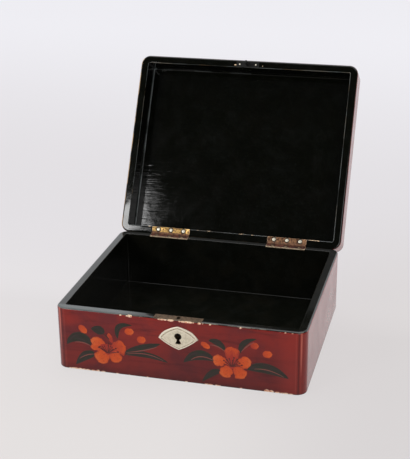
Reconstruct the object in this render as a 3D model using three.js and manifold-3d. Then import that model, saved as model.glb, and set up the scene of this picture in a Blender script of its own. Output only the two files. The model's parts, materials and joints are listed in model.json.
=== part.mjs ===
import * as THREE from 'three';
import { mergeVertices } from 'three/addons/utils/BufferGeometryUtils.js';
import Module from 'manifold-3d';

// A hinged wooden lacquer box with its lid standing open. Millimetres, +Z up, +Y to the back.
// The origin is the centre of the case's underside. Lid pieces are drawn where they lie when
// the lid is shut, inside a group that turns about the hinge pins.

// Case
const caseWidth = 240;
const caseDepth = 200;
const caseHeight = 63.5;
const wallThickness = 8.4;
const bottomThickness = 6.5;
const bottomRebate = 4; // how far the bottom board reaches into the walls
const boardRounding = 5; // corners of the bottom board and the lid's panel
const cornerRadius = 10;
const rimRounding = 2; // outer arris of both rims
const footRounding = 0.7;

// Lid
const lidSideOverhang = 1.2; // the lid is a little wider than the case
const lidRailThickness = 8.4;
const lidRecessDepth = 24;
const lidPanelThickness = 4.5;
const lidPanelRebate = 4;
const lidEdgeRounding = 2.5;
const openAngle = 119.5; // degrees from shut to the stop

// Fits
const glueLine = 0.1;
const seatGap = 0.2; // round a piece let into wood
const turningGap = 0.3; // between pieces that move past each other
const runningFit = 0.08; // radial, hinge pin in its knuckles
const rimGap = 0.3; // between the shut lid and the case
const stopGap = 0.2; // between the two stop bevels at rest

// Hinges
const hingeFromEnd = 35; // case's end face to the hinge
const hingeLength = 42;
const hingeInset = 1; // hinge axis in front of the back face
const barrelRadius = 1.9;
const hingePinRadius = 1;
const leafThickness = 1.2;
const knuckleCount = 5;
const hingeScrewCount = 3;
const hingeScrewSpacing = 14;

// Screws
const hingeScrew = {
  headRadius: 2.1,
  headDepth: 1,
  headEdge: 0.2,
  shankRadius: 1,
  tipRadius: 0.4,
  tipLength: 2,
  length: 8,
  slotWidth: 0.6,
  slotDepth: 0.5,
};
const lockScrew = {
  headRadius: 1.6,
  headDepth: 0.8,
  headEdge: 0.2,
  shankRadius: 0.7,
  tipRadius: 0.3,
  tipLength: 1.2,
  length: 5,
  slotWidth: 0.5,
  slotDepth: 0.4,
};

// Escutcheon
const escutcheonLength = 38;
const escutcheonHeight = 23.6;
const escutcheonThickness = 1.1;
const escutcheonBevel = 0.5;
const escutcheonRise = 12.1; // from the tips up to the crown, the rest of the height hangs below
const escutcheonShoulder = 13.2; // each side's shoulder from the middle
const escutcheonShoulderRise = 6.8;
const escutcheonBulge = 1.6; // how far a side bows out between its ends
const escutcheonPinInset = 2.6; // from the plate's tips
const escutcheonPin = { headRadius: 0.8, headHeight: 0.4, shankRadius: 0.45, length: 4.5 };

// Keyhole, measured down from the rim
const keyholeDrop = 16.8;
const keyholeRadius = 3.4;
const keyholeNeck = 2.3;
const keyholeFlare = 5.8;
const keyholeTail = 7.8; // from the round part's centre to the foot
const keyholeFootBow = 0.5;
const woodKeyholeMargin = 0.4;

// Lock
const lockPlateWidth = 46;
const lockPlateHeight = 30;
const lockPlateThickness = 1;
const selvedgeReveal = 1; // lacquered wood left in front of the plate on the rim
const lockCaseWidth = 30;
const lockCaseFoot = 2.6; // the case ends this much above the plate's lower edge
const lockCaseWall = 0.5;
const lockLedge = 1; // thickness of the ledges under the bolt
const lockFrontWood = 1.8; // wood left in front of the lock
const lockScrewInset = 2.9;
const drillPinRadius = 0.9;
const drillPinLength = 5.4;
const boltTravel = 7;
const boltArmHeight = 2.6;
const boltSpineWidth = 4.5;
const boltClearance = 0.2; // bolt to the case's faces
const boltNoseGap = 0.45; // drawn-back nose to the staple's path
const talonWidth = 5;
const talonDepth = 1.4;
const springThickness = 0.4;
const springWidth = 3;
const springLength = 11;
const springRise = 1.6;

// Strike on the lid
const strikeLength = 25;
const strikeWidth = 5.6;
const strikeThickness = 0.8;
const staplePlate = 1.5; // thickness of the staple, along X
const stapleWidth = 3.4;
const stapleDrop = 10.8;
const eyeWidth = 2;
const eyeHeight = 4.2;
const eyeFoot = 1.9; // metal under the eye
const stapleSwing = 0.6; // room for the staple's arc as the lid shuts
const strikeNailSpacing = 18;
const strikeNail = { headRadius: 0.9, headHeight: 0.35, shankRadius: 0.5, length: 5 };

// Facets
const cornerSegments = 4;
const arrisSegments = 3;
const roundSegments = 18;
const screwSegments = 10;

// Worked out from the sizes above
const lidWidth = caseWidth + 2 * lidSideOverhang;
const lidDepth = caseDepth;
const lidHeight = lidRecessDepth + lidPanelThickness;
const lidRim = caseHeight + rimGap;
const lidTop = lidRim + lidHeight;
const frontFace = -caseDepth / 2;
const frontInner = frontFace + wallThickness;
const hingeCentre = caseWidth / 2 - hingeFromEnd - hingeLength / 2;
const axisY = caseDepth / 2 - hingeInset;
const axisZ = caseHeight + rimGap / 2;
const boreRadius = (hingePinRadius + runningFit) / Math.cos(Math.PI / roundSegments);
const leafFront = caseDepth / 2 - wallThickness;
const keyholeZ = caseHeight - keyholeDrop;
const keyholeMiddle = keyholeZ - (keyholeTail - keyholeRadius) / 2;
const lockPlateFront = frontInner - lockPlateThickness;
const lockCaseTop = caseHeight - lockPlateThickness - glueLine;
const lockCaseBottom = caseHeight - lockPlateHeight + lockCaseFoot;
const lockCaseFront = frontFace + lockFrontWood + seatGap;
const lockCaseBack = lockPlateFront - glueLine;
const lockY = (lockCaseFront + lockCaseWall + lockCaseBack) / 2;
const stapleFoot = lidRim - stapleDrop;
const eyeZ = stapleFoot + eyeFoot + eyeHeight / 2;
const boltTop = eyeZ + boltArmHeight / 2;
const boltFoot = stapleFoot - turningGap - boltArmHeight;
const tiny = 1; // cutters reach this much past what they cut

const wasm = await Module();
wasm.setup();

// From three.js geometry to a solid and back

function toSolid(geometry) {
  const bare = geometry.clone();
  bare.deleteAttribute('normal');
  bare.deleteAttribute('uv');
  const merged = mergeVertices(bare, 1e-5);
  return new wasm.Manifold(new wasm.Mesh({
    numProp: 3,
    vertProperties: merged.attributes.position.array,
    triVerts: Uint32Array.from(merged.index.array),
  }));
}

function toGeometry(solid) {
  const mesh = solid.getMesh();
  const geometry = new THREE.BufferGeometry();
  geometry.setAttribute('position', new THREE.BufferAttribute(mesh.vertProperties, 3));
  geometry.setIndex(new THREE.BufferAttribute(mesh.triVerts, 1));
  geometry.computeVertexNormals();
  return geometry;
}

function block(low, high) {
  const size = high.map((value, i) => value - low[i]);
  const middle = high.map((value, i) => (value + low[i]) / 2);
  return toSolid(new THREE.BoxGeometry(...size).translate(...middle));
}

// A flat outline in X and Y, raised from z = low to z = high.
function prism(shape, low, high, curveSegments = cornerSegments) {
  const options = { depth: high - low, bevelEnabled: false, curveSegments };
  const geometry = new THREE.ExtrudeGeometry(shape, options);
  return toSolid(geometry.translate(0, 0, low));
}

// A flat outline in X and Z, thickened from y = front to y = back.
function slab(shape, front, back, curveSegments = cornerSegments) {
  const options = { depth: back - front, bevelEnabled: false, curveSegments };
  const geometry = new THREE.ExtrudeGeometry(shape, options);
  return toSolid(geometry.rotateX(Math.PI / 2).translate(0, back, 0));
}

// A rod along X.
function rodX(radius, from, to, y, z) {
  const geometry = new THREE.CylinderGeometry(radius, radius, to - from, roundSegments);
  return toSolid(geometry.rotateZ(Math.PI / 2).translate((from + to) / 2, y, z));
}

// A rod along Y.
function rodY(radius, front, back, x, z) {
  const geometry = new THREE.CylinderGeometry(radius, radius, back - front, screwSegments);
  return toSolid(geometry.translate(x, (front + back) / 2, z));
}

// A rod along Z.
function rodZ(radius, from, to) {
  const geometry = new THREE.CylinderGeometry(radius, radius, to - from, screwSegments);
  return toSolid(geometry.rotateX(Math.PI / 2).translate(0, 0, (from + to) / 2));
}

function polygon(points) {
  return new THREE.Shape(points.map(([x, y]) => new THREE.Vector2(x, y)));
}

function roundedRectangle(width, depth, radius) {
  const x = width / 2 - radius;
  const y = depth / 2 - radius;
  const shape = new THREE.Shape();
  shape.absarc(x, -y, radius, -Math.PI / 2, 0);
  shape.absarc(x, y, radius, 0, Math.PI / 2);
  shape.absarc(-x, y, radius, Math.PI / 2, Math.PI);
  shape.absarc(-x, -y, radius, Math.PI, Math.PI * 1.5);
  shape.closePath();
  return shape;
}

// A closed skin over rings of equal count, each a list of [x, y, z], from the lowest to the highest.
function loft(rings) {
  const count = rings[0].length;
  const indices = [];
  for (let ring = 0; ring < rings.length - 1; ring += 1) {
    for (let i = 0; i < count; i += 1) {
      const low = ring * count;
      const next = (i + 1) % count;
      indices.push(low + i, low + next, low + count + next);
      indices.push(low + i, low + count + next, low + count + i);
    }
  }
  const last = (rings.length - 1) * count;
  for (let i = 1; i < count - 1; i += 1) {
    indices.push(0, i + 1, i);
    indices.push(last, last + i, last + i + 1);
  }
  const geometry = new THREE.BufferGeometry();
  geometry.setAttribute('position', new THREE.Float32BufferAttribute(rings.flat(2), 3));
  geometry.setIndex(indices);
  return toSolid(geometry);
}

// A block with round corners and with its lower and upper arrises rounded.
function roundedForm(width, depth, low, high, lowRounding, highRounding) {
  const ring = (inset, z) => roundedRectangle(width - 2 * inset, depth - 2 * inset, cornerRadius - inset)
    .getPoints(cornerSegments)
    .slice(0, -1)
    .map((point) => [point.x, point.y, z]);
  const rings = [];
  for (let i = 0; i <= arrisSegments; i += 1) {
    const angle = (Math.PI / 2) * (i / arrisSegments);
    rings.push(ring(lowRounding * (1 - Math.sin(angle)), low + lowRounding * (1 - Math.cos(angle))));
  }
  for (let i = 0; i <= arrisSegments; i += 1) {
    const angle = (Math.PI / 2) * (i / arrisSegments);
    rings.push(ring(highRounding * (1 - Math.cos(angle)), high - highRounding * (1 - Math.sin(angle))));
  }
  return loft(rings);
}

// The part of a mitred frame that its -Y board takes, drawn a little too long in every direction.
function mitreWedge(width, depth, thickness, low, high) {
  const glue = (glueLine / 2) * Math.SQRT2;
  const outerX = width / 2 + tiny - glue;
  const innerX = width / 2 - thickness - tiny - glue;
  const outerY = -depth / 2 - tiny;
  const innerY = -depth / 2 + thickness + tiny;
  const plan = polygon([[-outerX, outerY], [outerX, outerY], [innerX, innerY], [-innerX, innerY]]);
  return prism(plan, low - tiny, high + tiny);
}

// The four boards of a mitred frame, cut from one rounded form.
function mitredFrame(form, width, depth, thickness, low, high) {
  const innerX = width / 2 - thickness;
  const innerY = depth / 2 - thickness;
  const frame = form.subtract(block([-innerX, -innerY, low - tiny], [innerX, innerY, high + tiny]));
  const long = mitreWedge(width, depth, thickness, low, high);
  const short = mitreWedge(depth, width, thickness, low, high);
  return {
    front: frame.intersect(long),
    back: frame.intersect(long.rotate([0, 0, 180])),
    left: frame.intersect(short.rotate([0, 0, -90])),
    right: frame.intersect(short.rotate([0, 0, 90])),
  };
}

// A countersunk wood screw, head up, its top at the origin.
function screwGeometry(size, margin = 0) {
  const shank = size.shankRadius + margin;
  const head = size.headRadius + margin;
  const top = margin ? tiny : 0;
  const profile = [
    [0, -size.length - margin],
    [size.tipRadius + margin, -size.length - margin],
    [shank, -size.length + size.tipLength],
    [shank, -size.headDepth - margin],
    [head, -size.headEdge - margin],
    [head, top],
    [0, top],
  ];
  return new THREE.LatheGeometry(profile.map(([x, y]) => new THREE.Vector2(x, y)), screwSegments)
    .rotateX(Math.PI / 2);
}

function slottedScrew(size) {
  const reach = size.headRadius + tiny;
  const slot = block([-reach, -size.slotWidth / 2, -size.slotDepth], [reach, size.slotWidth / 2, tiny]);
  return toSolid(screwGeometry(size)).subtract(slot);
}

// A round-headed nail, head up, the underside of its head at the origin.
function nailGeometry({ headRadius, headHeight, shankRadius, length }) {
  const profile = [
    [0, -length],
    [shankRadius, -length + 2 * shankRadius],
    [shankRadius, 0],
    [headRadius, 0],
    [headRadius * Math.SQRT1_2, headHeight * Math.SQRT1_2],
    [0, headHeight],
  ];
  return new THREE.LatheGeometry(profile.map(([x, y]) => new THREE.Vector2(x, y)), screwSegments)
    .rotateX(Math.PI / 2);
}

// A straight hole down from the origin for a nail's shank.
function nailHole({ shankRadius, length }) {
  return rodZ(shankRadius + glueLine, -length - seatGap, tiny);
}

// The same with a seat that takes the nail's head flush.
function sunkNailHole(nail) {
  return nailHole(nail).add(rodZ(nail.headRadius + glueLine, -glueLine, tiny));
}

// Hinges. side is -1 for the leaf on the case and +1 for the leaf on the lid.

const hingeCentres = { left: -hingeCentre, right: hingeCentre };
const leafFace = { '-1': caseHeight, 1: lidRim };
const knucklePitch = hingeLength / knuckleCount;

function leafBlock(side, centre, margin) {
  const outer = leafFace[side];
  const inner = outer + side * (leafThickness + margin);
  const low = [centre - hingeLength / 2 - margin, leafFront - margin, Math.min(outer, inner)];
  const high = [centre + hingeLength / 2 + margin, axisY, Math.max(outer, inner)];
  if (margin) {
    low[2] -= side > 0 ? tiny : 0;
    high[2] += side < 0 ? tiny : 0;
  }
  return block(low, high);
}

// Knuckles 0, 2 and 4 belong to the case leaf and 1 and 3 to the lid leaf.
function knuckleSpans(side, centre) {
  const spans = [];
  for (let i = side < 0 ? 0 : 1; i < knuckleCount; i += 2) {
    spans.push([
      centre - hingeLength / 2 + i * knucklePitch + turningGap / 2,
      centre - hingeLength / 2 + (i + 1) * knucklePitch - turningGap / 2,
    ]);
  }
  return spans;
}

function hingeLeaf(side, centre) {
  let leaf = leafBlock(side, centre, 0);
  for (const [from, to] of knuckleSpans(-side, centre)) {
    leaf = leaf.subtract(rodX(barrelRadius + turningGap, from - turningGap, to + turningGap, axisY, axisZ));
  }
  for (const [from, to] of knuckleSpans(side, centre)) {
    leaf = leaf.add(rodX(barrelRadius, from, to, axisY, axisZ));
  }
  const reach = hingeLength / 2 + tiny;
  leaf = leaf.subtract(rodX(boreRadius, centre - reach, centre + reach, axisY, axisZ));
  for (const place of hingeScrewPlaces(side, centre)) {
    leaf = leaf.subtract(placeScrew(toSolid(screwGeometry(hingeScrew, glueLine)), side, place));
  }
  return leaf;
}

function hingeScrewPlaces(side, centre) {
  const middle = (leafFront + axisY - barrelRadius) / 2;
  const places = [];
  for (let i = 0; i < hingeScrewCount; i += 1) {
    const x = centre + (i - (hingeScrewCount - 1) / 2) * hingeScrewSpacing;
    places.push([x, middle, leafFace[side]]);
  }
  return places;
}

// Screws in the case point down and screws in the lid point up.
function placeScrew(screw, side, place) {
  return screw.rotate([side < 0 ? 0 : 180, 0, 0]).translate(place);
}

function hingePin(centre) {
  return rodX(hingePinRadius, centre - hingeLength / 2, centre + hingeLength / 2, axisY, axisZ);
}

// Everything that the hinges take out of a back board: leaf seat, barrel seat and screw holes.
function cutForHinges(board, side) {
  let cut = board;
  for (const centre of Object.values(hingeCentres)) {
    const reach = hingeLength / 2 + turningGap;
    cut = cut.subtract(leafBlock(side, centre, seatGap));
    cut = cut.subtract(rodX(barrelRadius + turningGap, centre - reach, centre + reach, axisY, axisZ));
    for (const place of hingeScrewPlaces(side, centre)) {
      cut = cut.subtract(placeScrew(toSolid(screwGeometry(hingeScrew, seatGap)), side, place));
    }
  }
  return cut;
}

// The back arrises are planed off so that the open lid leans on them.
function stopBevel(side) {
  const along = wallThickness;
  const away = wallThickness / 2;
  const geometry = new THREE.BoxGeometry(lidWidth + 2 * tiny, along, away)
    .translate(0, 0, -side * (away - stopGap) / 2)
    .rotateX(side * THREE.MathUtils.degToRad(openAngle / 2))
    .translate(0, axisY, axisZ);
  return toSolid(geometry);
}

// Keyhole, a round head over a flared foot, in X and Z.
function keyholeShape(margin, Kind) {
  const radius = keyholeRadius + margin;
  const neck = keyholeNeck / 2 + margin;
  const flare = keyholeFlare / 2 + margin;
  const foot = keyholeZ - keyholeTail - margin;
  const start = Math.asin(neck / radius);
  const shape = new Kind();
  shape.moveTo(-flare, foot + keyholeFootBow);
  shape.quadraticCurveTo(0, foot - keyholeFootBow, flare, foot + keyholeFootBow);
  shape.lineTo(neck, keyholeZ - radius * Math.cos(start));
  shape.absarc(0, keyholeZ, radius, start - Math.PI / 2, 1.5 * Math.PI - start);
  shape.closePath();
  return shape;
}

function keyholeCutter(margin, front, back) {
  return slab(keyholeShape(margin, THREE.Shape), front - tiny, back + tiny, cornerSegments * 2);
}

// Escutcheon, a lozenge with bowed sides. Each upper side has a small shoulder near its tip.
function escutcheonShape(inset) {
  const reach = escutcheonLength / 2 - inset * Math.SQRT2;
  const crown = escutcheonRise - inset;
  const foot = escutcheonHeight - escutcheonRise - inset;
  const shoulder = new THREE.Vector2(escutcheonShoulder - inset, escutcheonShoulderRise - inset);
  const left = new THREE.Vector2(-shoulder.x, shoulder.y);
  const corners = [
    new THREE.Vector2(reach, 0),
    shoulder,
    new THREE.Vector2(0, crown),
    left,
    new THREE.Vector2(-reach, 0),
    new THREE.Vector2(0, -foot),
  ];
  const shape = new THREE.Shape();
  shape.moveTo(corners[0].x, keyholeMiddle + corners[0].y);
  corners.forEach((from, i) => {
    const to = corners[(i + 1) % corners.length];
    const side = to.clone().sub(from);
    const outward = new THREE.Vector2(side.y, -side.x).normalize();
    const bulge = escutcheonBulge * side.length() / escutcheonShoulder;
    const control = from.clone().add(to).multiplyScalar(0.5).addScaledVector(outward, bulge);
    shape.quadraticCurveTo(control.x, keyholeMiddle + control.y, to.x, keyholeMiddle + to.y);
  });
  return shape;
}

// The plate's back is cut flat where the bevelled outline would run round it.
function escutcheon() {
  const back = frontFace - glueLine;
  const shape = escutcheonShape(escutcheonBevel);
  shape.holes.push(keyholeShape(escutcheonBevel, THREE.Path));
  const geometry = new THREE.ExtrudeGeometry(shape, {
    depth: escutcheonThickness - escutcheonBevel,
    bevelThickness: escutcheonBevel,
    bevelSize: escutcheonBevel,
    bevelSegments: 2,
    curveSegments: cornerSegments + 1,
  });
  const reach = escutcheonLength;
  const behind = block([-reach, back, 0], [reach, back + 2 * tiny, caseHeight]);
  let plate = toSolid(geometry.rotateX(Math.PI / 2).translate(0, back, 0)).subtract(behind);
  for (const x of escutcheonPinPlaces()) {
    plate = plate.subtract(placeEscutcheonPin(nailHole(escutcheonPin), x));
  }
  return plate;
}

function escutcheonPinPlaces() {
  const x = escutcheonLength / 2 - escutcheonPinInset;
  return [-x, x];
}

// Pins stand on the plate's face and point into the wall.
function placeEscutcheonPin(pin, x) {
  return pin.rotate([90, 0, 0]).translate([x, frontFace - escutcheonThickness - 2 * glueLine, keyholeMiddle]);
}

// Lock

// An angled plate. Its edge on the rim is filed to the rim's rounding.
function lockPlate() {
  const half = lockPlateWidth / 2;
  const back = block([-half, lockPlateFront, caseHeight - lockPlateHeight], [half, frontInner, caseHeight]);
  const selvedge = block(
    [-half, frontFace + selvedgeReveal, caseHeight - lockPlateThickness],
    [half, frontInner, caseHeight],
  );
  let plate = back.add(selvedge).intersect(caseForm);
  plate = plate.subtract(stapleSlot(caseHeight - lockPlateThickness, caseHeight));
  const pinHole = rodY(drillPinRadius + glueLine, lockPlateFront - tiny, frontInner + tiny, 0, keyholeZ);
  plate = plate.subtract(pinHole);
  for (const [x, z] of lockScrewPlaces()) {
    plate = plate.subtract(placeLockScrew(toSolid(screwGeometry(lockScrew, glueLine)), x, z));
  }
  return plate;
}

function stapleSlot(low, high) {
  const x = staplePlate / 2 + stapleSwing + turningGap;
  const y = stapleWidth / 2 + stapleSwing;
  return block([-x, lockY - y, low - tiny], [x, lockY + y, high + tiny]);
}

function lockScrewPlaces() {
  const x = lockPlateWidth / 2 - lockScrewInset;
  const high = caseHeight - 2 * lockScrewInset;
  const low = caseHeight - lockPlateHeight + lockScrewInset;
  return [[-x, high], [x, high], [-x, low], [x, low]];
}

// Lock screws go in from the inside of the front wall.
function placeLockScrew(screw, x, z) {
  return screw.rotate([-90, 0, 0]).translate([x, frontInner, z]);
}

// The lock's tray, open towards the plate, with two ledges that carry the bolt.
function lockCase() {
  const half = lockCaseWidth / 2;
  const inner = half - lockCaseWall;
  const hollow = block(
    [-inner, lockCaseFront + lockCaseWall, lockCaseBottom + lockCaseWall],
    [inner, lockCaseBack + tiny, lockCaseTop - lockCaseWall],
  );
  const tray = block([-half, lockCaseFront, lockCaseBottom], [half, lockCaseBack, lockCaseTop]);
  let solid = tray.subtract(hollow);
  for (const side of [-1, 1]) {
    const from = side * inner;
    const to = side * (keyholeRadius + talonWidth);
    solid = solid.add(block(
      [Math.min(from, to), lockCaseFront + lockCaseWall, boltFoot - boltClearance - lockLedge],
      [Math.max(from, to), lockCaseBack, boltFoot - boltClearance],
    ));
  }
  solid = solid.subtract(keyholeCutter(0, lockCaseFront, lockCaseFront + lockCaseWall));
  return solid.subtract(stapleSlot(lockCaseTop - lockCaseWall, lockCaseTop));
}

// A C-shaped bolt. The upper arm goes through the staple's eye; the key turns in the lower one.
function lockBolt() {
  const inner = lockCaseWidth / 2 - lockCaseWall - boltClearance;
  const noseTip = -staplePlate / 2 - stapleSwing - boltNoseGap;
  const spineRight = boltSpineWidth - inner;
  const talonMiddle = -boltTravel / 2;
  const talonLeft = talonMiddle - talonWidth / 2;
  const talonRight = talonMiddle + talonWidth / 2;
  const outline = polygon([
    [-inner, boltFoot],
    [talonLeft, boltFoot],
    [talonLeft, boltFoot + talonDepth],
    [talonRight, boltFoot + talonDepth],
    [talonRight, boltFoot],
    [inner - boltTravel, boltFoot],
    [inner - boltTravel, boltFoot + boltArmHeight],
    [spineRight, boltFoot + boltArmHeight],
    [spineRight, boltTop - boltArmHeight],
    [noseTip, boltTop - boltArmHeight],
    [noseTip, boltTop],
    [-inner, boltTop],
  ]);
  const thick = slab(outline, lockCaseFront + lockCaseWall + boltClearance, lockCaseBack - boltClearance);
  const noseHalf = eyeWidth / 2 - turningGap;
  const thinFrom = noseTip - boltTravel - turningGap;
  const far = wallThickness;
  const low = boltTop - boltArmHeight - turningGap / 2;
  return thick
    .subtract(block([thinFrom, lockY - far, low], [tiny, lockY - noseHalf, boltTop + tiny]))
    .subtract(block([thinFrom, lockY + noseHalf, low], [tiny, lockY + far, boltTop + tiny]));
}

// A bowed strip between the bolt's back and the top of the lock case.
function lockSpring() {
  const left = -lockCaseWidth / 2 + lockCaseWall + boltClearance;
  const right = left + springLength;
  const middle = (left + right) / 2;
  const low = boltTop + glueLine;
  const end = low + springRise;
  const bow = low - springRise;
  const shape = new THREE.Shape();
  shape.moveTo(left, end);
  shape.quadraticCurveTo(middle, bow, right, end);
  shape.lineTo(right, end + springThickness);
  shape.quadraticCurveTo(middle, bow + springThickness, left, end + springThickness);
  shape.closePath();
  return slab(shape, lockY - springWidth / 2, lockY + springWidth / 2);
}

// Front wall with everything that the lock and the escutcheon take out of it.
function frontWall(board) {
  const plateHalf = lockPlateWidth / 2 + seatGap;
  const caseHalf = lockCaseWidth / 2 + seatGap;
  let wall = board
    .subtract(block(
      [-plateHalf, lockPlateFront - seatGap, caseHeight - lockPlateHeight - seatGap],
      [plateHalf, frontInner + tiny, caseHeight + tiny],
    ))
    .subtract(block(
      [-plateHalf, frontFace + selvedgeReveal - seatGap, caseHeight - lockPlateThickness - seatGap],
      [plateHalf, frontInner + tiny, caseHeight + tiny],
    ))
    .subtract(block(
      [-caseHalf, frontFace + lockFrontWood, lockCaseBottom - seatGap],
      [caseHalf, frontInner, caseHeight],
    ))
    .subtract(keyholeCutter(woodKeyholeMargin, frontFace, frontFace + lockFrontWood));
  for (const x of escutcheonPinPlaces()) {
    wall = wall.subtract(placeEscutcheonPin(nailHole(escutcheonPin), x));
  }
  for (const [x, z] of lockScrewPlaces()) {
    wall = wall.subtract(placeLockScrew(toSolid(screwGeometry(lockScrew, seatGap)), x, z));
  }
  return wall;
}

// Strike plate let into the lid's front rim, with the staple that drops into the lock.

function strikeNailPlaces() {
  return [-strikeNailSpacing / 2, strikeNailSpacing / 2];
}

function strikePlate() {
  const plate = block(
    [-strikeLength / 2, lockY - strikeWidth / 2, lidRim],
    [strikeLength / 2, lockY + strikeWidth / 2, lidRim + strikeThickness],
  );
  const staple = block(
    [-staplePlate / 2, lockY - stapleWidth / 2, stapleFoot],
    [staplePlate / 2, lockY + stapleWidth / 2, lidRim + strikeThickness / 2],
  );
  const eye = block(
    [-staplePlate, lockY - eyeWidth / 2, eyeZ - eyeHeight / 2],
    [staplePlate, lockY + eyeWidth / 2, eyeZ + eyeHeight / 2],
  );
  let strike = plate.add(staple).subtract(eye);
  for (const x of strikeNailPlaces()) {
    strike = strike.subtract(placeStrikeNail(sunkNailHole(strikeNail), x));
  }
  return strike;
}

// The nails' heads lie flush in the plate, with the shanks up into the lid rail.
function placeStrikeNail(nail, x) {
  return nail.rotate([180, 0, 0]).translate([x, lockY, lidRim + strikeNail.headHeight]);
}

function frontRail(board) {
  const margin = seatGap;
  let rail = board.subtract(block(
    [-strikeLength / 2 - margin, lockY - strikeWidth / 2 - margin, lidRim - tiny],
    [strikeLength / 2 + margin, lockY + strikeWidth / 2 + margin, lidRim + strikeThickness + margin],
  ));
  for (const x of strikeNailPlaces()) {
    rail = rail.subtract(placeStrikeNail(nailHole(strikeNail), x));
  }
  return rail;
}

// Finishes

const lacquerRed = () => finish(0x70201b, 0.28, 0);
const lacquerBlack = () => finish(0x0c0d0b, 0.22, 0);
const hingeBrass = () => finish(0xb07a3c, 0.38, 0.9);
const steel = () => finish(0xc9c8c4, 0.35, 0.95);
const paleMetal = () => finish(0xc9c5b4, 0.4, 0.85);
const lockBrass = () => finish(0x9a7a45, 0.45, 0.85);
const darkIron = () => finish(0x2a2824, 0.5, 0.7);

function finish(color, roughness, metalness) {
  return new THREE.MeshStandardMaterial({ color, roughness, metalness });
}

function addPiece(group, name, solid, material) {
  const mesh = new THREE.Mesh(toGeometry(solid), material);
  mesh.name = name;
  group.add(mesh);
}

// Case body

const box = new THREE.Group();

const bottomOutline = (margin) => roundedRectangle(
  caseWidth - 2 * (wallThickness - bottomRebate) + 2 * margin,
  caseDepth - 2 * (wallThickness - bottomRebate) + 2 * margin,
  boardRounding + margin,
);
const bottomSeat = prism(bottomOutline(glueLine), -tiny, bottomThickness + glueLine);
const caseForm = roundedForm(caseWidth, caseDepth, 0, caseHeight, footRounding, rimRounding);
const walls = mitredFrame(caseForm, caseWidth, caseDepth, wallThickness, 0, caseHeight);
for (const name of Object.keys(walls)) {
  walls[name] = walls[name].subtract(bottomSeat);
}
addPiece(box, 'front_wall', frontWall(walls.front), lacquerRed());
addPiece(box, 'back_wall', cutForHinges(walls.back.subtract(stopBevel(-1)), -1), lacquerRed());
addPiece(box, 'left_wall', walls.left.subtract(stopBevel(-1)), lacquerRed());
addPiece(box, 'right_wall', walls.right.subtract(stopBevel(-1)), lacquerRed());
addPiece(box, 'bottom_board', prism(bottomOutline(0), 0, bottomThickness), lacquerBlack());

addPiece(box, 'escutcheon', escutcheon(), paleMetal());
escutcheonPinPlaces().forEach((x, i) => {
  const pin = placeEscutcheonPin(toSolid(nailGeometry(escutcheonPin)), x);
  addPiece(box, `escutcheon_pin_${['left', 'right'][i]}`, pin, paleMetal());
});

addPiece(box, 'lock_plate', lockPlate(), lockBrass());
addPiece(box, 'lock_case', lockCase(), lockBrass());
addPiece(box, 'lock_bolt', lockBolt(), lockBrass());
addPiece(box, 'lock_spring', lockSpring(), steel());
const drillPin = rodY(drillPinRadius, frontInner - drillPinLength, frontInner, 0, keyholeZ);
addPiece(box, 'drill_pin', drillPin, steel());
const lockScrewNames = ['upper_left', 'upper_right', 'lower_left', 'lower_right'];
lockScrewPlaces().forEach(([x, z], i) => {
  const screw = placeLockScrew(slottedScrew(lockScrew), x, z);
  addPiece(box, `lock_screw_${lockScrewNames[i]}`, screw, lockBrass());
});

// Lid body, drawn shut and turned about the hinge axis to stand open

const lidPivot = new THREE.Group();
lidPivot.position.set(0, axisY, axisZ);
lidPivot.rotation.x = -THREE.MathUtils.degToRad(openAngle);
box.add(lidPivot);
const lid = new THREE.Group();
lid.position.set(0, -axisY, -axisZ);
lidPivot.add(lid);

const panelOutline = (margin) => roundedRectangle(
  lidWidth - 2 * (lidRailThickness - lidPanelRebate) + 2 * margin,
  lidDepth - 2 * (lidRailThickness - lidPanelRebate) + 2 * margin,
  boardRounding + margin,
);
const panelSeat = prism(panelOutline(glueLine), lidTop - lidPanelThickness - glueLine, lidTop + tiny);
const lidForm = roundedForm(lidWidth, lidDepth, lidRim, lidTop, rimRounding, lidEdgeRounding);
const rails = mitredFrame(lidForm, lidWidth, lidDepth, lidRailThickness, lidRim, lidTop);
for (const name of Object.keys(rails)) {
  rails[name] = rails[name].subtract(panelSeat);
}
addPiece(lid, 'lid_front_rail', frontRail(rails.front), lacquerBlack());
addPiece(lid, 'lid_back_rail', cutForHinges(rails.back.subtract(stopBevel(1)), 1), lacquerBlack());
addPiece(lid, 'lid_left_rail', rails.left.subtract(stopBevel(1)), lacquerBlack());
addPiece(lid, 'lid_right_rail', rails.right.subtract(stopBevel(1)), lacquerBlack());
addPiece(lid, 'lid_top_panel', prism(panelOutline(0), lidTop - lidPanelThickness, lidTop), lacquerBlack());
addPiece(lid, 'lid_strike_plate', strikePlate(), darkIron());
strikeNailPlaces().forEach((x, i) => {
  const nail = placeStrikeNail(toSolid(nailGeometry(strikeNail)), x);
  addPiece(lid, `strike_nail_${['left', 'right'][i]}`, nail, steel());
});

// Both hinges

for (const [hand, centre] of Object.entries(hingeCentres)) {
  addPiece(box, `hinge_pin_${hand}`, hingePin(centre), hingeBrass());
  for (const [owner, side, group] of [['case', -1, box], ['lid', 1, lid]]) {
    addPiece(group, `${owner}_hinge_leaf_${hand}`, hingeLeaf(side, centre), hingeBrass());
    hingeScrewPlaces(side, centre).forEach((place, i) => {
      const screw = placeScrew(slottedScrew(hingeScrew), side, place);
      addPiece(group, `${owner}_hinge_screw_${hand}_${i + 1}`, screw, steel());
    });
  }
}

export default box;
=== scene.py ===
import json
import math

import bmesh
import bpy
from mathutils import Matrix, Vector, noise


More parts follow.
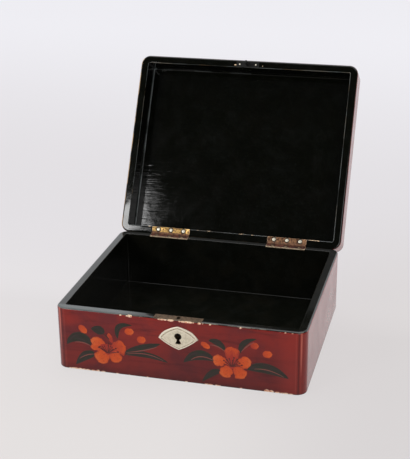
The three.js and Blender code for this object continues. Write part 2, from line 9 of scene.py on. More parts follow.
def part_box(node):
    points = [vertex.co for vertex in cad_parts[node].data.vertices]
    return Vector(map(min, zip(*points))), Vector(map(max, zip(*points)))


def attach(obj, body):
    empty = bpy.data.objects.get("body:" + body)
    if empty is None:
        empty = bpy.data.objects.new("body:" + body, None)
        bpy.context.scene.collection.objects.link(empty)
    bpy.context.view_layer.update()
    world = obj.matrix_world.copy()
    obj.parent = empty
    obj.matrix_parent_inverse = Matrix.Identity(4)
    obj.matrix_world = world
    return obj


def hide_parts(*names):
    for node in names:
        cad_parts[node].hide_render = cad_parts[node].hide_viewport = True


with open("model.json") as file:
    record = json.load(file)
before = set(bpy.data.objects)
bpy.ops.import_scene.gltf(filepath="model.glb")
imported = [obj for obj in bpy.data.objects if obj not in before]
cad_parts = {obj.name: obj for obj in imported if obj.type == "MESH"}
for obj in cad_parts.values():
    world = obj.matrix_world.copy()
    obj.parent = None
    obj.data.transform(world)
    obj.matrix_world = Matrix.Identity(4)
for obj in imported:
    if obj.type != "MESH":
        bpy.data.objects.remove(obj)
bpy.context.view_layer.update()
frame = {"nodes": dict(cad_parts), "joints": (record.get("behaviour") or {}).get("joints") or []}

# The meshes are drawn in millimetres and brought to metres when they are finished.
mm = 0.001


def nodeBox(name):
    low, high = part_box(name)
    return low / mm, high / mm


# Sizes taken from the frame
hinge = next(joint for joint in frame["joints"] if joint["name"] == "lid_hinge")
hingeAxis = Vector(hinge["pos_m"]) / mm
openAngle = math.radians(-hinge["range_deg"][0])
shutToOpen = (Matrix.Translation(hingeAxis) @ Matrix.Rotation(-openAngle, 4, "X")
              @ Matrix.Translation(-hingeAxis))
openToShut = shutToOpen.inverted()


def nodePoints(name, turnBack=None):
    points = [vertex.co / mm for vertex in frame["nodes"][name].data.vertices]
    return [turnBack @ point for point in points] if turnBack else points


def corners(points):
    low = Vector([min(point[i] for point in points) for i in range(3)])
    high = Vector([max(point[i] for point in points) for i in range(3)])
    return low, high


def shutBox(*names):        # corners of lid nodes as they lie with the lid shut
    return corners([point for name in names for point in nodePoints(name, openToShut)])


frontLow, frontHigh = nodeBox("front_wall")
caseSize = {
    "halfWidth": nodeBox("right_wall")[1].x,
    "halfDepth": -frontLow.y,
    "bottom": frontLow.z,
    "top": frontHigh.z,
    "wall": frontHigh.y - frontLow.y,
    "floor": nodeBox("bottom_board")[1].z,
    "corner": 10,
}
railLow, railHigh = shutBox("lid_front_rail", "lid_right_rail")
lidSize = {
    "halfWidth": railHigh.x,
    "halfDepth": -railLow.y,
    "bottom": railLow.z,
    "top": railHigh.z,
    "wall": shutBox("lid_front_rail")[1].y - railLow.y,
    "ceiling": shutBox("lid_top_panel")[0].z,
    "corner": 10,
}
stopGap = 0.2        # between the planed edges that the open lid leans on
seatGap = 0.15       # round a fitting let into the wood
print("frame read:", len(frame["nodes"]), "pieces")


# Colours and node helpers

def tone(red, green, blue):        # a colour as it is seen, 0 to 255
    seen = [value / 255 for value in (red, green, blue)]
    return [v / 12.92 if v <= 0.04045 else ((v + 0.055) / 1.055) ** 2.4 for v in seen] + [1]


def put(tree, kind, inputs=None, **settings):
    node = tree.nodes.new(kind)
    for name, value in settings.items():
        setattr(node, name, value)
    for name, value in (inputs or {}).items():
        if isinstance(value, bpy.types.NodeSocket):
            tree.links.new(value, node.inputs[name])
        else:
            node.inputs[name].default_value = value
    return node


def maths(tree, operation, first, second=0.0):
    return put(tree, "ShaderNodeMath", {0: first, 1: second}, operation=operation).outputs[0]


def plus(tree, first, second):
    return maths(tree, "ADD", first, second)


def minus(tree, first, second):
    return maths(tree, "SUBTRACT", first, second)


def times(tree, first, second):
    return maths(tree, "MULTIPLY", first, second)


def vectors(tree, operation, inputs):
    return put(tree, "ShaderNodeVectorMath", inputs, operation=operation).outputs[0]


def partsOf(tree, place):
    return put(tree, "ShaderNodeSeparateXYZ", {0: place}).outputs


def joined(tree, **parts):
    return put(tree, "ShaderNodeCombineXYZ", parts).outputs[0]


def blend(tree, factor, first, second):
    return put(tree, "ShaderNodeMix", {0: factor, 6: first, 7: second}, data_type="RGBA").outputs[2]


# The range from low to high is brought to the range from toLow to toHigh.
def spread(tree, value, low, high, toLow=0.0, toHigh=1.0, curve="SMOOTHSTEP"):
    inputs = {"Value": value, "From Min": low, "From Max": high, "To Min": toLow, "To Max": toHigh}
    return put(tree, "ShaderNodeMapRange", inputs, interpolation_type=curve).outputs[0]


def cloudsOf(tree, place, scale, detail=3.0, rough=0.55, warp=0.0):
    inputs = {"Vector": place, "Scale": scale, "Detail": detail, "Roughness": rough, "Distortion": warp}
    return put(tree, "ShaderNodeTexNoise", inputs).outputs["Fac"]


def drawnOut(tree, place, scale, detail=3.0, rough=0.55):        # clouds stretched along an axis
    along = put(tree, "ShaderNodeMapping", {"Vector": place, "Scale": scale}).outputs[0]
    return cloudsOf(tree, along, 1.0, detail, rough)


def marked(tree, name):
    return put(tree, "ShaderNodeAttribute", attribute_name=name).outputs["Fac"]


def addSockets(tree, direction, sockets):
    for socketName, kind, value in sockets:
        socket = tree.interface.new_socket(socketName, in_out=direction, socket_type="NodeSocket" + kind)
        if value is not None:
            socket.default_value = value


def newGroup(name, inputs, outputs):
    group = bpy.data.node_groups.new(name, "ShaderNodeTree")
    addSockets(group, "INPUT", inputs)
    addSockets(group, "OUTPUT", [(output, "Float", None) for output in outputs])
    return group, group.nodes.new("NodeGroupInput").outputs, group.nodes.new("NodeGroupOutput").inputs


def useGroup(tree, group, inputs):
    return put(tree, "ShaderNodeGroup", inputs, node_tree=group).outputs


# Shared effects

def makeEdgeWear():        # coats rubbed thin along arrises and broken off in ragged chips
    group, given, out = newGroup(
        "edgeWear",
        [("Place", "Vector", None), ("Grain", "Float", 1700.0), ("Amount", "Float", 0.6)],
        ["Rubbed", "Bare"])
    broad = cloudsOf(group, given["Place"], 65.0, 3.0, 0.6)
    ragged = cloudsOf(group, given["Place"], given["Grain"], 4.0, 0.7)
    patchy = times(group, marked(group, "worn"), spread(group, broad, 0.3, 0.62))
    patchy = times(group, patchy, given["Amount"])
    rubbed = spread(group, plus(group, patchy, times(group, ragged, 0.45)), 0.36, 0.8)
    broken = plus(group, marked(group, "chip"), times(group, ragged, 0.62))
    broken = plus(group, broken, times(group, broad, 0.3))
    group.links.new(rubbed, out["Rubbed"])
    group.links.new(spread(group, broken, 0.86, 0.98), out["Bare"])
    return group


def makeHandling():        # slight unevenness of a hand-rubbed coat
    group, given, out = newGroup(
        "handling",
        [("Place", "Vector", None), ("Size", "Float", 30.0)],
        ["Cloud", "Speck", "Ripple"])
    fine = cloudsOf(group, given["Place"], times(group, given["Size"], 30.0), 2.0, 0.6)
    ripple = cloudsOf(group, given["Place"], times(group, given["Size"], 2.5), 1.5, 0.4)
    group.links.new(cloudsOf(group, given["Place"], given["Size"], 4.0, 0.6, 0.4), out["Cloud"])
    group.links.new(spread(group, fine, 0.68, 0.76), out["Speck"])
    group.links.new(ripple, out["Ripple"])
    return group


def makeDust():        # a thin veil that gathers in patches
    group, given, out = newGroup(
        "dust",
        [("Place", "Vector", None), ("Amount", "Float", 0.1)],
        ["Veil"])
    patches = cloudsOf(group, given["Place"], 70.0, 6.0, 0.75)
    veil = times(group, spread(group, patches, 0.4, 0.8), given["Amount"])
    group.links.new(veil, out["Veil"])
    return group


def makeTarnish():        # darkened patches, scratches and rubbed edges on small metal fittings
    group, given, out = newGroup(
        "tarnish",
        [("Place", "Vector", None), ("Amount", "Float", 0.5)],
        ["Dark", "Scratch", "Rubbed"])
    patches = cloudsOf(group, given["Place"], 420.0, 5.0, 0.7, 0.6)
    dark = times(group, spread(group, patches, 0.42, 0.58), given["Amount"])
    rubbed = times(group, marked(group, "worn"), spread(group, patches, 0.3, 0.55))
    group.links.new(dark, out["Dark"])
    group.links.new(drawnOut(group, given["Place"], (300.0, 2400.0, 2400.0), 2.0), out["Scratch"])
    group.links.new(rubbed, out["Rubbed"])
    return group


edgeWear = makeEdgeWear()
handling = makeHandling()
dust = makeDust()
tarnish = makeTarnish()


def newMaterial(name, shader):
    material = bpy.data.materials.new(name)
    material.use_nodes = True
    tree = material.node_tree
    principled = tree.nodes["Principled BSDF"]
    for socketName, value in shader.items():
        principled.inputs[socketName].default_value = value
    place = tree.nodes.new("ShaderNodeTexCoord").outputs["Object"]
    return material, tree, principled, place


# Coats lie one over the other. Each has what guides it, from where to where it is spread, how much it
# covers at both ends, and its colour.
def coatOver(tree, colour, coats, guides, look):
    for guide, reach, cover, shade in coats:
        colour = blend(tree, spread(tree, guides[guide], *reach, *cover), colour, look[shade])
    return colour


# Height is bump, and distance is how deep it goes, in millimetres.
def finishMaterial(tree, principled, colour, roughness=None, height=None, strength=0.2, distance=0.1):
    tree.links.new(colour, principled.inputs["Base Color"])
    if roughness is not None:
        tree.links.new(roughness, principled.inputs["Roughness"])
    if height is not None:
        relief = {"Height": height, "Strength": strength, "Distance": distance * mm}
        tree.links.new(put(tree, "ShaderNodeBump", relief).outputs[0], principled.inputs["Normal"])


# Lacquers

chipGrain = 1700.0        # how fine the ragged edge of a chip is
redFinish = {
    "red": tone(138, 38, 31),
    "plum": tone(98, 31, 36),
    "shade": tone(66, 15, 16),
    "bright": tone(150, 44, 34),
    # painted highlight for the upright streaks on the rounded corners
    "cornerHighlight": tone(206, 110, 92),
    "primer": tone(255, 222, 192),
    "primerShade": tone(206, 128, 98),
    "scuff": tone(150, 84, 66),
    "roughness": 0.2,
    "specular": 0.4,
    "sheen": 0.2,
    "sheenRoughness": 0.4,
    "clouds": 34.0,
    "rubbed": 0.7,
    "coats": (
        ("cloud", (0.36, 0.7), (0.0, 0.8), "plum"),
        ("brushed", (0.48, 0.8), (0.0, 0.6), "shade"),
        ("height", (0.022, 0.056), (0.34, 0.0), "shade"),        # darker towards the foot
        ("height", (0.0, 0.009), (0.5, 0.0), "shade"),
        ("across", (-0.03, 0.04), (0.0, 0.2), "shade"),          # painted shade towards the right
        ("across", (0.085, 0.108), (0.0, 0.5), "bright"),        # and a lighter red at the right end
        # painted shade, then painted highlight, in upright streaks on the rounded corners
        ("paintedLight", (-0.1, -0.6), (0.0, 0.6), "shade"),
        ("paintedLight", (0.1, 1.0), (0.0, 0.9), "cornerHighlight"),
    ),
}


def redLacquer():
    look = redFinish
    material, tree, principled, place = newMaterial("redLacquer", {
        "Specular IOR Level": look["specular"],
        "Sheen Weight": look["sheen"],
        "Sheen Roughness": look["sheenRoughness"],
    })
    hand = useGroup(tree, handling, {"Place": place, "Size": look["clouds"]})
    wear = useGroup(tree, edgeWear, {"Place": place, "Grain": chipGrain, "Amount": look["rubbed"]})
    along = partsOf(tree, place)
    guides = {
        "cloud": hand["Cloud"],
        "brushed": drawnOut(tree, place, (26.0, 26.0, 240.0), 5.0, 0.62),
        "height": along["Z"],
        "across": along["X"],
        "paintedLight": marked(tree, "paintedLight"),
    }
    colour = coatOver(tree, look["red"], look["coats"], guides, look)
    colour = blend(tree, wear["Rubbed"], colour, look["scuff"])
    mottled = spread(tree, cloudsOf(tree, place, 420.0), 0.4, 0.6)
    primer = blend(tree, mottled, look["primerShade"], look["primer"])
    colour = blend(tree, wear["Bare"], colour, primer)
    roughness = spread(tree, hand["Cloud"], 0.3, 0.7, look["roughness"] - 0.05, look["roughness"] + 0.06)
    roughness = plus(tree, roughness, times(tree, wear["Bare"], 0.4))
    relief = minus(tree, hand["Ripple"], wear["Bare"])
    finishMaterial(tree, principled, colour, roughness, relief, 0.3, 0.12)
    return material


blackFinish = {
    # grey of the dust veil, which also paints the highlight lines in the lid's recess and the reflection on
    # the front rim
    "veil": tone(112, 118, 118),
    "bare": tone(240, 206, 168),
    "specular": 0.5,
    "clouds": 40.0,           # patches of the coat's shade to a metre
    "dust": 0.02,
    "specks": 0.2,
    "rimReflection": 0.45,           # how strongly the left end of the front rim is painted pale grey, a painted reflection
    "panelHalf": 0.1124,      # brush marks end here, in metres from the lid's middle
    "brushMarks": 2.2,
    "case": {"name": "blackLacquer", "black": tone(11, 12, 8), "brownish": tone(19, 18, 13),
             "scuff": tone(140, 132, 118), "rubbed": 0.8, "roughness": 0.1},
    "lid": {"name": "blackLacquerLid", "black": tone(5, 6, 2), "brownish": tone(7, 7, 3),
            "scuff": tone(186, 150, 104), "rubbed": 0.9, "roughness": 0.065},
}


def blackLacquer(part):
    look = blackFinish
    own = look[part]
    material, tree, principled, place = newMaterial(own["name"], {"Specular IOR Level": look["specular"]})
    if part == "lid":        # the lid's pattern lies as it would with the lid shut
        place = put(tree, "ShaderNodeMapping", {"Vector": place, "Rotation": (openAngle, 0, 0)}).outputs[0]
    hand = useGroup(tree, handling, {"Place": place, "Size": look["clouds"]})
    wear = useGroup(tree, edgeWear, {"Place": place, "Grain": chipGrain, "Amount": own["rubbed"]})
    veil = useGroup(tree, dust, {"Place": place, "Amount": look["dust"]})["Veil"]
    colour = blend(tree, spread(tree, hand["Cloud"], 0.4, 0.75), own["black"], own["brownish"])
    colour = blend(tree, veil, colour, look["veil"])
    relief = hand["Ripple"]
    along = partsOf(tree, place)
    if part == "lid":        # painted highlight lines in the recess, and brush marks across the panel
        lit = times(tree, marked(tree, "paintedLight"), spread(tree, hand["Cloud"], 0.36, 0.56, 0.5, 1.0))
        colour = blend(tree, spread(tree, lit, 0.2, 0.8, 0.0, 0.9), colour, look["veil"])
        edge = look["panelHalf"]
        sideways = maths(tree, "ABSOLUTE", along["X"])
        onPanel = spread(tree, sideways, edge + 0.0004, edge - 0.0004, 0.0, look["brushMarks"])
        relief = plus(tree, relief, times(tree, drawnOut(tree, place, (12.0, 420.0, 12.0)), onPanel))
    else:        # painted reflection: the front rim is painted pale grey towards its left end
        leftwards = spread(tree, along["X"], -0.03, -0.06)
        rimReflection = times(tree, leftwards, spread(tree, along["Y"], -0.09, -0.094))
        colour = blend(tree, times(tree, rimReflection, look["rimReflection"]), colour, look["veil"])
    colour = blend(tree, times(tree, hand["Speck"], look["specks"]), colour, look["veil"])
    colour = blend(tree, wear["Rubbed"], colour, own["scuff"])
    colour = blend(tree, wear["Bare"], colour, look["bare"])
    roughness = spread(tree, hand["Cloud"], 0.3, 0.7, own["roughness"] - 0.02, own["roughness"] + 0.02)
    roughness = plus(tree, roughness, times(tree, wear["Bare"], 0.5))
    relief = minus(tree, relief, wear["Bare"])
    finishMaterial(tree, principled, colour, roughness, relief, 0.3, 0.12)
    return material


def bareWood():
    shader = {"Roughness": 0.75, "Specular IOR Level": 0.25}
    material, tree, principled, place = newMaterial("bareWood", shader)
    lines = drawnOut(tree, place, (60.0, 900.0, 900.0), 5.0, 0.65)
    pores = drawnOut(tree, place, (210.0, 3150.0, 3150.0), 2.0)
    colour = blend(tree, spread(tree, lines, 0.3, 0.7), tone(96, 64, 42), tone(52, 34, 24))
    finishMaterial(tree, principled, colour, None, plus(tree, lines, pores), 0.5, 0.1)
    return material


# Metals

tarnishRoughness = 0.22
metalFinish = {        # bright, dull and rubbed colours, roughness, tarnish, how metallic
    "brass": (tone(236, 190, 112), tone(104, 68, 36), tone(255, 218, 176), 0.34, 0.95, 0.5),
    "copper": (tone(160, 116, 80), tone(84, 54, 36), tone(216, 182, 150), 0.42, 1.0, 0.5),
    "caseBrass": (tone(124, 70, 54), tone(54, 28, 26), tone(230, 208, 176), 0.42, 1.0, 0.5),
    "dullBarrel": (tone(124, 84, 58), tone(66, 44, 34), tone(170, 130, 100), 0.45, 0.8, 0.5),
    # near white and only partly metallic, so the heads carry a painted glint
    "paintedGlintSteel": (tone(255, 250, 230), tone(180, 156, 128), tone(255, 252, 240), 0.3, 0.4, 0.25),
    "dullScrew": (tone(150, 124, 96), tone(84, 60, 44), tone(190, 160, 130), 0.45, 0.8, 0.4),
    "plate": (tone(238, 228, 204), tone(198, 184, 156), tone(255, 244, 226), 0.42, 0.5, 0.25),
    "plateGroove": (tone(206, 192, 164), tone(146, 130, 104), tone(200, 184, 156), 0.6, 0.8, 0.2),
    "lockBrass": (tone(100, 76, 52), tone(62, 48, 34), tone(150, 122, 84), 0.45, 0.85, 0.5),
    "darkIron": (tone(16, 15, 13), tone(8, 7, 6), tone(90, 84, 76), 0.35, 0.7, 0.4),
}


def agedMetal(name):
    bright, dull, rubbed, roughness, tarnished, metallic = metalFinish[name]
    material, tree, principled, place = newMaterial(name, {"Metallic": metallic})
    age = useGroup(tree, tarnish, {"Place": place, "Amount": tarnished})
    colour = blend(tree, age["Dark"], bright, dull)
    colour = blend(tree, age["Rubbed"], colour, rubbed)
    roughness = plus(tree, times(tree, age["Dark"], tarnishRoughness), roughness)
    finishMaterial(tree, principled, colour, roughness, age["Scratch"], 0.25, 0.05)
    return material


materials = {
    "red": redLacquer(),
    "black": blackLacquer("case"),
    "lidBlack": blackLacquer("lid"),
    "wood": bareWood(),
}
for metalName in metalFinish:
    materials[metalName] = agedMetal(metalName)
print("materials made:", len(materials))


# Mesh helpers

def intoScene(name, data):
    made = bpy.data.objects.new(name, data)
    bpy.context.scene.collection.objects.link(made)
    return made


def newPiece(name, bm, slots):        # an object in metres from a mesh drawn in millimetres
    bmesh.ops.recalc_face_normals(bm, faces=bm.faces)
    mesh = bpy.data.meshes.new(name)
    bm.to_mesh(mesh)
    bm.free()
    mesh.transform(Matrix.Scale(mm, 4))
    for material in slots:
        mesh.materials.append(material)
    return intoScene(name, mesh)


def soften(piece, sharp=35.0):
    piece.data.shade_smooth()
    piece.data.set_sharp_from_angle(angle=math.radians(sharp))


def carry(piece, move):        # a move in millimetres, made in the mesh
    piece.data.transform(Matrix.Scale(mm, 4) @ move @ Matrix.Scale(1 / mm, 4))


def settle(piece, body, finish, *replaced):
    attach(piece, body)
    if replaced:
        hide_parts(*replaced)


def boxInto(bm, low, high):
    places = [(x, y, z) for z in (low[2], high[2]) for y in (low[1], high[1]) for x in (low[0], high[0])]
    points = [bm.verts.new(place) for place in places]
    for face in ((0, 2, 3, 1), (4, 5, 7, 6), (0, 1, 5, 4), (2, 6, 7, 3), (0, 4, 6, 2), (1, 3, 7, 5)):
        bm.faces.new([points[i] for i in face])


def skinInto(bm, rings, slotOf=None, layer=None, values=None):        # a closed skin over even rings
    made = []
    for index, ring in enumerate(rings):
        row = [bm.verts.new(point) for point in ring]
        if layer is not None:
            for vertex in row:
                vertex[layer] = values[index]
        made.append(row)
    count = len(made[0])
    slotOf = slotOf or (lambda index: 0)
    for index in range(len(made) - 1):
        lower, upper = made[index], made[index + 1]
        for i in range(count):
            j = (i + 1) % count
            bm.faces.new([lower[i], lower[j], upper[j], upper[i]]).material_index = slotOf(index)
    bm.faces.new(made[0][::-1]).material_index = slotOf(0)
    bm.faces.new(made[-1]).material_index = slotOf(len(made) - 2)


def turnedInto(bm, axisPoints, radii, sides=32, slot=0):        # round rings along a straight axis
    axis = (Vector(axisPoints[-1]) - Vector(axisPoints[0])).normalized()
    side = axis.orthogonal().normalized()
    other = axis.cross(side)
    rings = []
    for centre, radius in zip(axisPoints, radii):
        angles = [2 * math.pi * i / sides for i in range(sides)]
        rings.append([Vector(centre) + radius * (side * math.cos(a) + other * math.sin(a)) for a in angles])
    skinInto(bm, rings, lambda index: slot)


def prismInto(bm, outline, front, back):        # outline in X and Z, thickened along Y
    skinInto(bm, [[(x, y, z) for x, z in outline] for y in (front, back)])


def keepMesh(piece):        # the evaluated mesh takes the place of the modifiers
    depsgraph = bpy.context.evaluated_depsgraph_get()
    result = bpy.data.meshes.new_from_object(piece.evaluated_get(depsgraph))
    piece.modifiers.clear()
    old = piece.data
    result.name = old.name
    piece.data = result
    bpy.data.meshes.remove(old)


def carve(piece, cutters, overlapping=False):        # overlapping: the piece's own parts run together
    for cutter in cutters:
        modifier = piece.modifiers.new("cut", "BOOLEAN")
        modifier.operation = "DIFFERENCE"
        modifier.solver = "EXACT"
        modifier.object = cutter
        modifier.material_mode = "TRANSFER"
        modifier.use_self = overlapping
    keepMesh(piece)
    for cutter in cutters:
        mesh = cutter.data
        bpy.data.objects.remove(cutter)
        bpy.data.meshes.remove(mesh)


# Geometry trees

def geometryTree(name, inputs):
    tree = bpy.data.node_groups.new(name, "GeometryNodeTree")
    addSockets(tree, "INPUT", [("Geometry", "Geometry", None)] + inputs)
    addSockets(tree, "OUTPUT", [("Geometry", "Geometry", None)])
    return tree, tree.nodes.new("NodeGroupInput").outputs, tree.nodes.new("NodeGroupOutput").inputs


def finishTree(tree, out, instances, material):
    real = put(tree, "GeometryNodeRealizeInstances", {"Geometry": instances}).outputs[0]
    painted = put(tree, "GeometryNodeSetMaterial", {"Geometry": real, "Material": material}).outputs[0]
    tree.links.new(painted, out["Geometry"])


def ballOf(tree, segments, rings, radius):
    inputs = {"Segments": segments, "Rings": rings, "Radius": radius}
    return put(tree, "GeometryNodeMeshUVSphere", inputs).outputs["Mesh"]


def anyValue(tree, low, high, seed):
    inputs = {2: low, 3: high, "Seed": seed}
    return put(tree, "FunctionNodeRandomValue", inputs, data_type="FLOAT").outputs[1]


def strewn(tree, points, form, **settings):        # a copy of the form on every point
    inputs = {"Points": points, "Instance": form, **settings}
    return put(tree, "GeometryNodeInstanceOnPoints", inputs).outputs[0]


def grow(piece, tree, values):
    modifier = piece.modifiers.new(tree.name, "NODES")
    modifier.node_group = tree
    for item in tree.interface.items_tree:
        if item.in_out == "INPUT" and item.name in values:
            modifier[item.identifier] = values[item.name]
    keepMesh(piece)


# A turned screw or nail, head up, set on every point along the point's aim. Rings of a ball become its
# crown, head's edge, neck, foot and tip.
def makeFastenerTree():
    tree, given, out = geometryTree("fastener", [
        ("Head", "Float", 0.002), ("Dome", "Float", 0.0001), ("Countersink", "Float", 0.001),
        ("Shank", "Float", 0.001), ("Length", "Float", 0.008), ("Slot Width", "Float", 0.0005),
        ("Slot Depth", "Float", 0.0005), ("Seed", "Int", 1), ("Material", "Material", None)])
    ball = ballOf(tree, 24, 16, 1.0)
    parts = partsOf(tree, put(tree, "GeometryNodeInputPosition").outputs[0])
    turn = maths(tree, "DIVIDE", maths(tree, "ARCCOSINE", parts["Z"]), math.pi)
    edge, neck, foot = 5 / 16, 7 / 16, 13 / 16
    crown = spread(tree, turn, 0.0, edge, curve="LINEAR")
    cone = spread(tree, turn, edge, neck, curve="LINEAR")
    shaft = spread(tree, turn, neck, foot, curve="LINEAR")
    tip = spread(tree, turn, foot, 1.0, curve="LINEAR")
    radius = times(tree, given["Head"], crown)
    narrowed = times(tree, minus(tree, given["Head"], given["Shank"]), cone)
    radius = minus(tree, radius, narrowed)
    radius = minus(tree, radius, times(tree, given["Shank"], tip))
    domed = minus(tree, 1.0, maths(tree, "POWER", crown, 2.0))
    height = times(tree, given["Dome"], domed)
    height = minus(tree, height, times(tree, given["Countersink"], cone))
    plain = minus(tree, given["Length"], given["Countersink"])
    height = minus(tree, height, times(tree, plain, shaft))
    height = minus(tree, height, times(tree, given["Shank"], tip))
    level = joined(tree, X=parts["X"], Y=parts["Y"])
    outward = vectors(tree, "SCALE", {0: vectors(tree, "NORMALIZE", {0: level}), "Scale": radius})
    drawn = vectors(tree, "ADD", {0: outward, 1: joined(tree, Z=height)})
    turned = put(tree, "GeometryNodeSetPosition", {"Geometry": ball, "Position": drawn}).outputs[0]
    reach = times(tree, given["Head"], 3.0)
    deep = times(tree, given["Slot Depth"], 2.0)
    size = joined(tree, X=reach, Y=given["Slot Width"], Z=deep)
    saw = put(tree, "GeometryNodeMeshCube", {"Size": size}).outputs["Mesh"]
    slotted = put(tree, "GeometryNodeMeshBoolean", {"Mesh 1": turned, "Mesh 2": saw},
                  operation="DIFFERENCE", solver="EXACT").outputs["Mesh"]
    hasSlot = maths(tree, "GREATER_THAN", given["Slot Depth"], 0.0)
    shape = put(tree, "GeometryNodeSwitch", {"Switch": hasSlot, "False": turned, "True": slotted},
                input_type="GEOMETRY").outputs[0]
    aim = put(tree, "GeometryNodeInputNamedAttribute", {"Name": "aim"}, data_type="FLOAT_VECTOR").outputs[0]
    facing = put(tree, "FunctionNodeAlignRotationToVector", {"Vector": aim}, axis="Z").outputs[0]
    placed = strewn(tree, given["Geometry"], shape, Rotation=facing)
    spin = joined(tree, Z=anyValue(tree, 0.0, math.pi, given["Seed"]))
    driven = put(tree, "GeometryNodeRotateInstances", {"Instances": placed, "Rotation": spin}).outputs[0]
    finishTree(tree, out, driven, given["Material"])
    return tree


fastenerTree = makeFastenerTree()

fastenerSizes = ("Head", "Dome", "Countersink", "Shank", "Length", "Slot Width", "Slot Depth")
fastenerLook = {        # those sizes in millimetres, the head's rise over its CAD seat, and the finish
    "lidHingeScrew": ((1.75, 0.15, 1.0, 0.95, 8, 0.35, 0.3), 0.0, "paintedGlintSteel"),
    "caseHingeScrew": ((1.75, 0.12, 1.0, 0.95, 8, 0.35, 0.3), 0.0, "dullScrew"),
    "lockScrew": ((1.5, 0.15, 0.8, 0.7, 4.6, 0.45, 0.4), 0.0, "lockBrass"),
    "platePin": ((0.85, 0.4, 0.0, 0.45, 4, 0.0, 0.0), -0.4, "plate"),
    "strikeNail": ((0.9, 0.3, 0.0, 0.5, 4.5, 0.0, 0.0), -0.25, "paintedGlintSteel"),
}


def driveFasteners(name, kind, nodes, aim, body, finish, shut=False, move=None, seed=1):
    sizes, rise, metal = fastenerLook[kind]
    direction = Vector(aim)
    bm = bmesh.new()
    aims = bm.verts.layers.float_vector.new("aim")
    for node in nodes:
        low, high = shutBox(node) if shut else nodeBox(node)
        head = (low + high) / 2 + direction * (abs((high - low).dot(direction)) / 2 + rise)
        bm.verts.new(move @ head if move else head)[aims] = direction
    piece = newPiece(name, bm, [materials[metal]])
    values = {label: size * mm for label, size in zip(fastenerSizes, sizes)}
    grow(piece, fastenerTree, {**values, "Seed": seed, "Material": materials[metal]})
    if shut:
        carry(piece, shutToOpen)
    soften(piece)
    settle(piece, body, finish, *nodes)


# Case and lid shells

shellLook = {
    "alongWidth": 200,        # facets along the front and back
    "alongDepth": 160,
    "aroundCorner": 16,
    "arris": 2.0,             # outer arris of both rims
    "crown": 0.1,             # how far the rim's curve would fall by the outer face
    "crest": 3.6,             # from the outer face to the rim's highest line
    "innerArris": 0.7,
    "footArris": 0.7,
    "floorFillet": 0.8,
    "panelFillet": 1.6,
    "lidTopRounding": 2.5,
    "support": 0.3,           # a ring this close keeps a flat face's shading flat
}


def outlineRing(size, inset, height):
    radius = max(size["corner"] - inset, 0.12)
    reachX = size["halfWidth"] - inset - radius
    reachY = size["halfDepth"] - inset - radius
    bends = ((reachX, -reachY, -90), (reachX, reachY, 0), (-reachX, reachY, 90), (-reachX, -reachY, 180))
    ring = []
    for i, (x, y, start) in enumerate(bends):
        arc = []
        for step in range(shellLook["aroundCorner"] + 1):
            angle = math.radians(start + 90 * step / shellLook["aroundCorner"])
            arc.append((x + radius * math.cos(angle), y + radius * math.sin(angle)))
        nextX, nextY, nextStart = bends[(i + 1) % 4]
        turned = math.radians(nextStart)
        following = (nextX + radius * math.cos(turned), nextY + radius * math.sin(turned))
        count = shellLook["alongDepth"] if i % 2 == 0 else shellLook["alongWidth"]
        ring += arc
        for step in range(1, count):
            ring.append(tuple(a + (b - a) * step / count for a, b in zip(arc[-1], following)))
    return [Vector((x, y, height)) for x, y in ring]


def bend(inset, height, radius, start, end, steps):        # an arc of the profile, angle 0 points outwards
    arc = []
    for step in range(steps + 1):
        angle = math.radians(start + (end - start) * step / steps)
        arc.append((inset - radius * math.cos(angle), height + radius * math.sin(angle)))
    return arc


def fall(inset):        # the rim is crowned a little and falls towards its outer arris
    return shellLook["crown"] * (max(shellLook["crest"] - inset, 0) / shellLook["crest"]) ** 2


def rimProfile(wall):        # insets and depths below the rim, from the outer face to the inner one
    arris, inner, support = shellLook["arris"], shellLook["innerArris"], shellLook["support"]
    slope = math.degrees(math.atan(2 * fall(arris) / (shellLook["crest"] - arris)))
    end = bend(arris, 0, arris, 90 - slope, 90 - slope, 1)[0]
    centre = -fall(end[0]) - end[1]
    outer = [(inset, -height) for inset, height in bend(arris, centre, arris, 0, 90 - slope, 8)]
    flat = [(inset, fall(inset)) for inset in (2.4, 3.2, 4.0, 4.8, 5.6, 6.4, 7.0, wall - inner - support)]
    return outer, flat + bend(wall - inner, inner, inner, -90, -180, 4)


def loftShell(size, profile, slotOf):
    bm = bmesh.new()
    skinInto(bm, [outlineRing(size, inset, height) for inset, height in profile], slotOf)
    return bm


def planeOff(bm, side):        # the back edge is planed to a flat that the open lid leans on
    outward = Vector((0, math.sin(openAngle / 2), -side * math.cos(openAngle / 2)))
    for vertex in bm.verts:
        beyond = (vertex.co - hingeAxis).dot(outward) + stopGap / 2
        if beyond > 0 and vertex.co.y > hingeAxis.y - 4:
            vertex.co -= outward * beyond


def caseProfile():
    top, bottom, wall, floor = (caseSize[name] for name in ("top", "bottom", "wall", "floor"))
    foot, fillet, support = (shellLook[name] for name in ("footArris", "floorFillet", "support"))
    outer, inner = rimProfile(wall)
    profile = [(foot + support, bottom)]
    profile += bend(foot, bottom + foot, foot, -90, 0, 4)
    profile += [(0, bottom + foot + height) for height in (0.3, 0.9, 1.6, 2.6, 4, 7, 16, 30, 44, 53)]
    profile += [(0, top - outer[0][1] - depth) for depth in (3, 1.8, 1.0, 0.3)]
    redRings = len(profile) + 3        # black runs a little way down the rounding
    profile += [(inset, top - depth) for inset, depth in outer + inner]
    profile += [(wall, top - depth) for depth in (1.0, 2, 4, 9, 21, 35)]
    profile += [(wall, floor + rise) for rise in (7, 3, 1.4)]
    profile += bend(wall + fillet, floor + fillet, fillet, 0, -90, 4)
    profile += [(wall + fillet + support, floor)]
    return profile, redRings


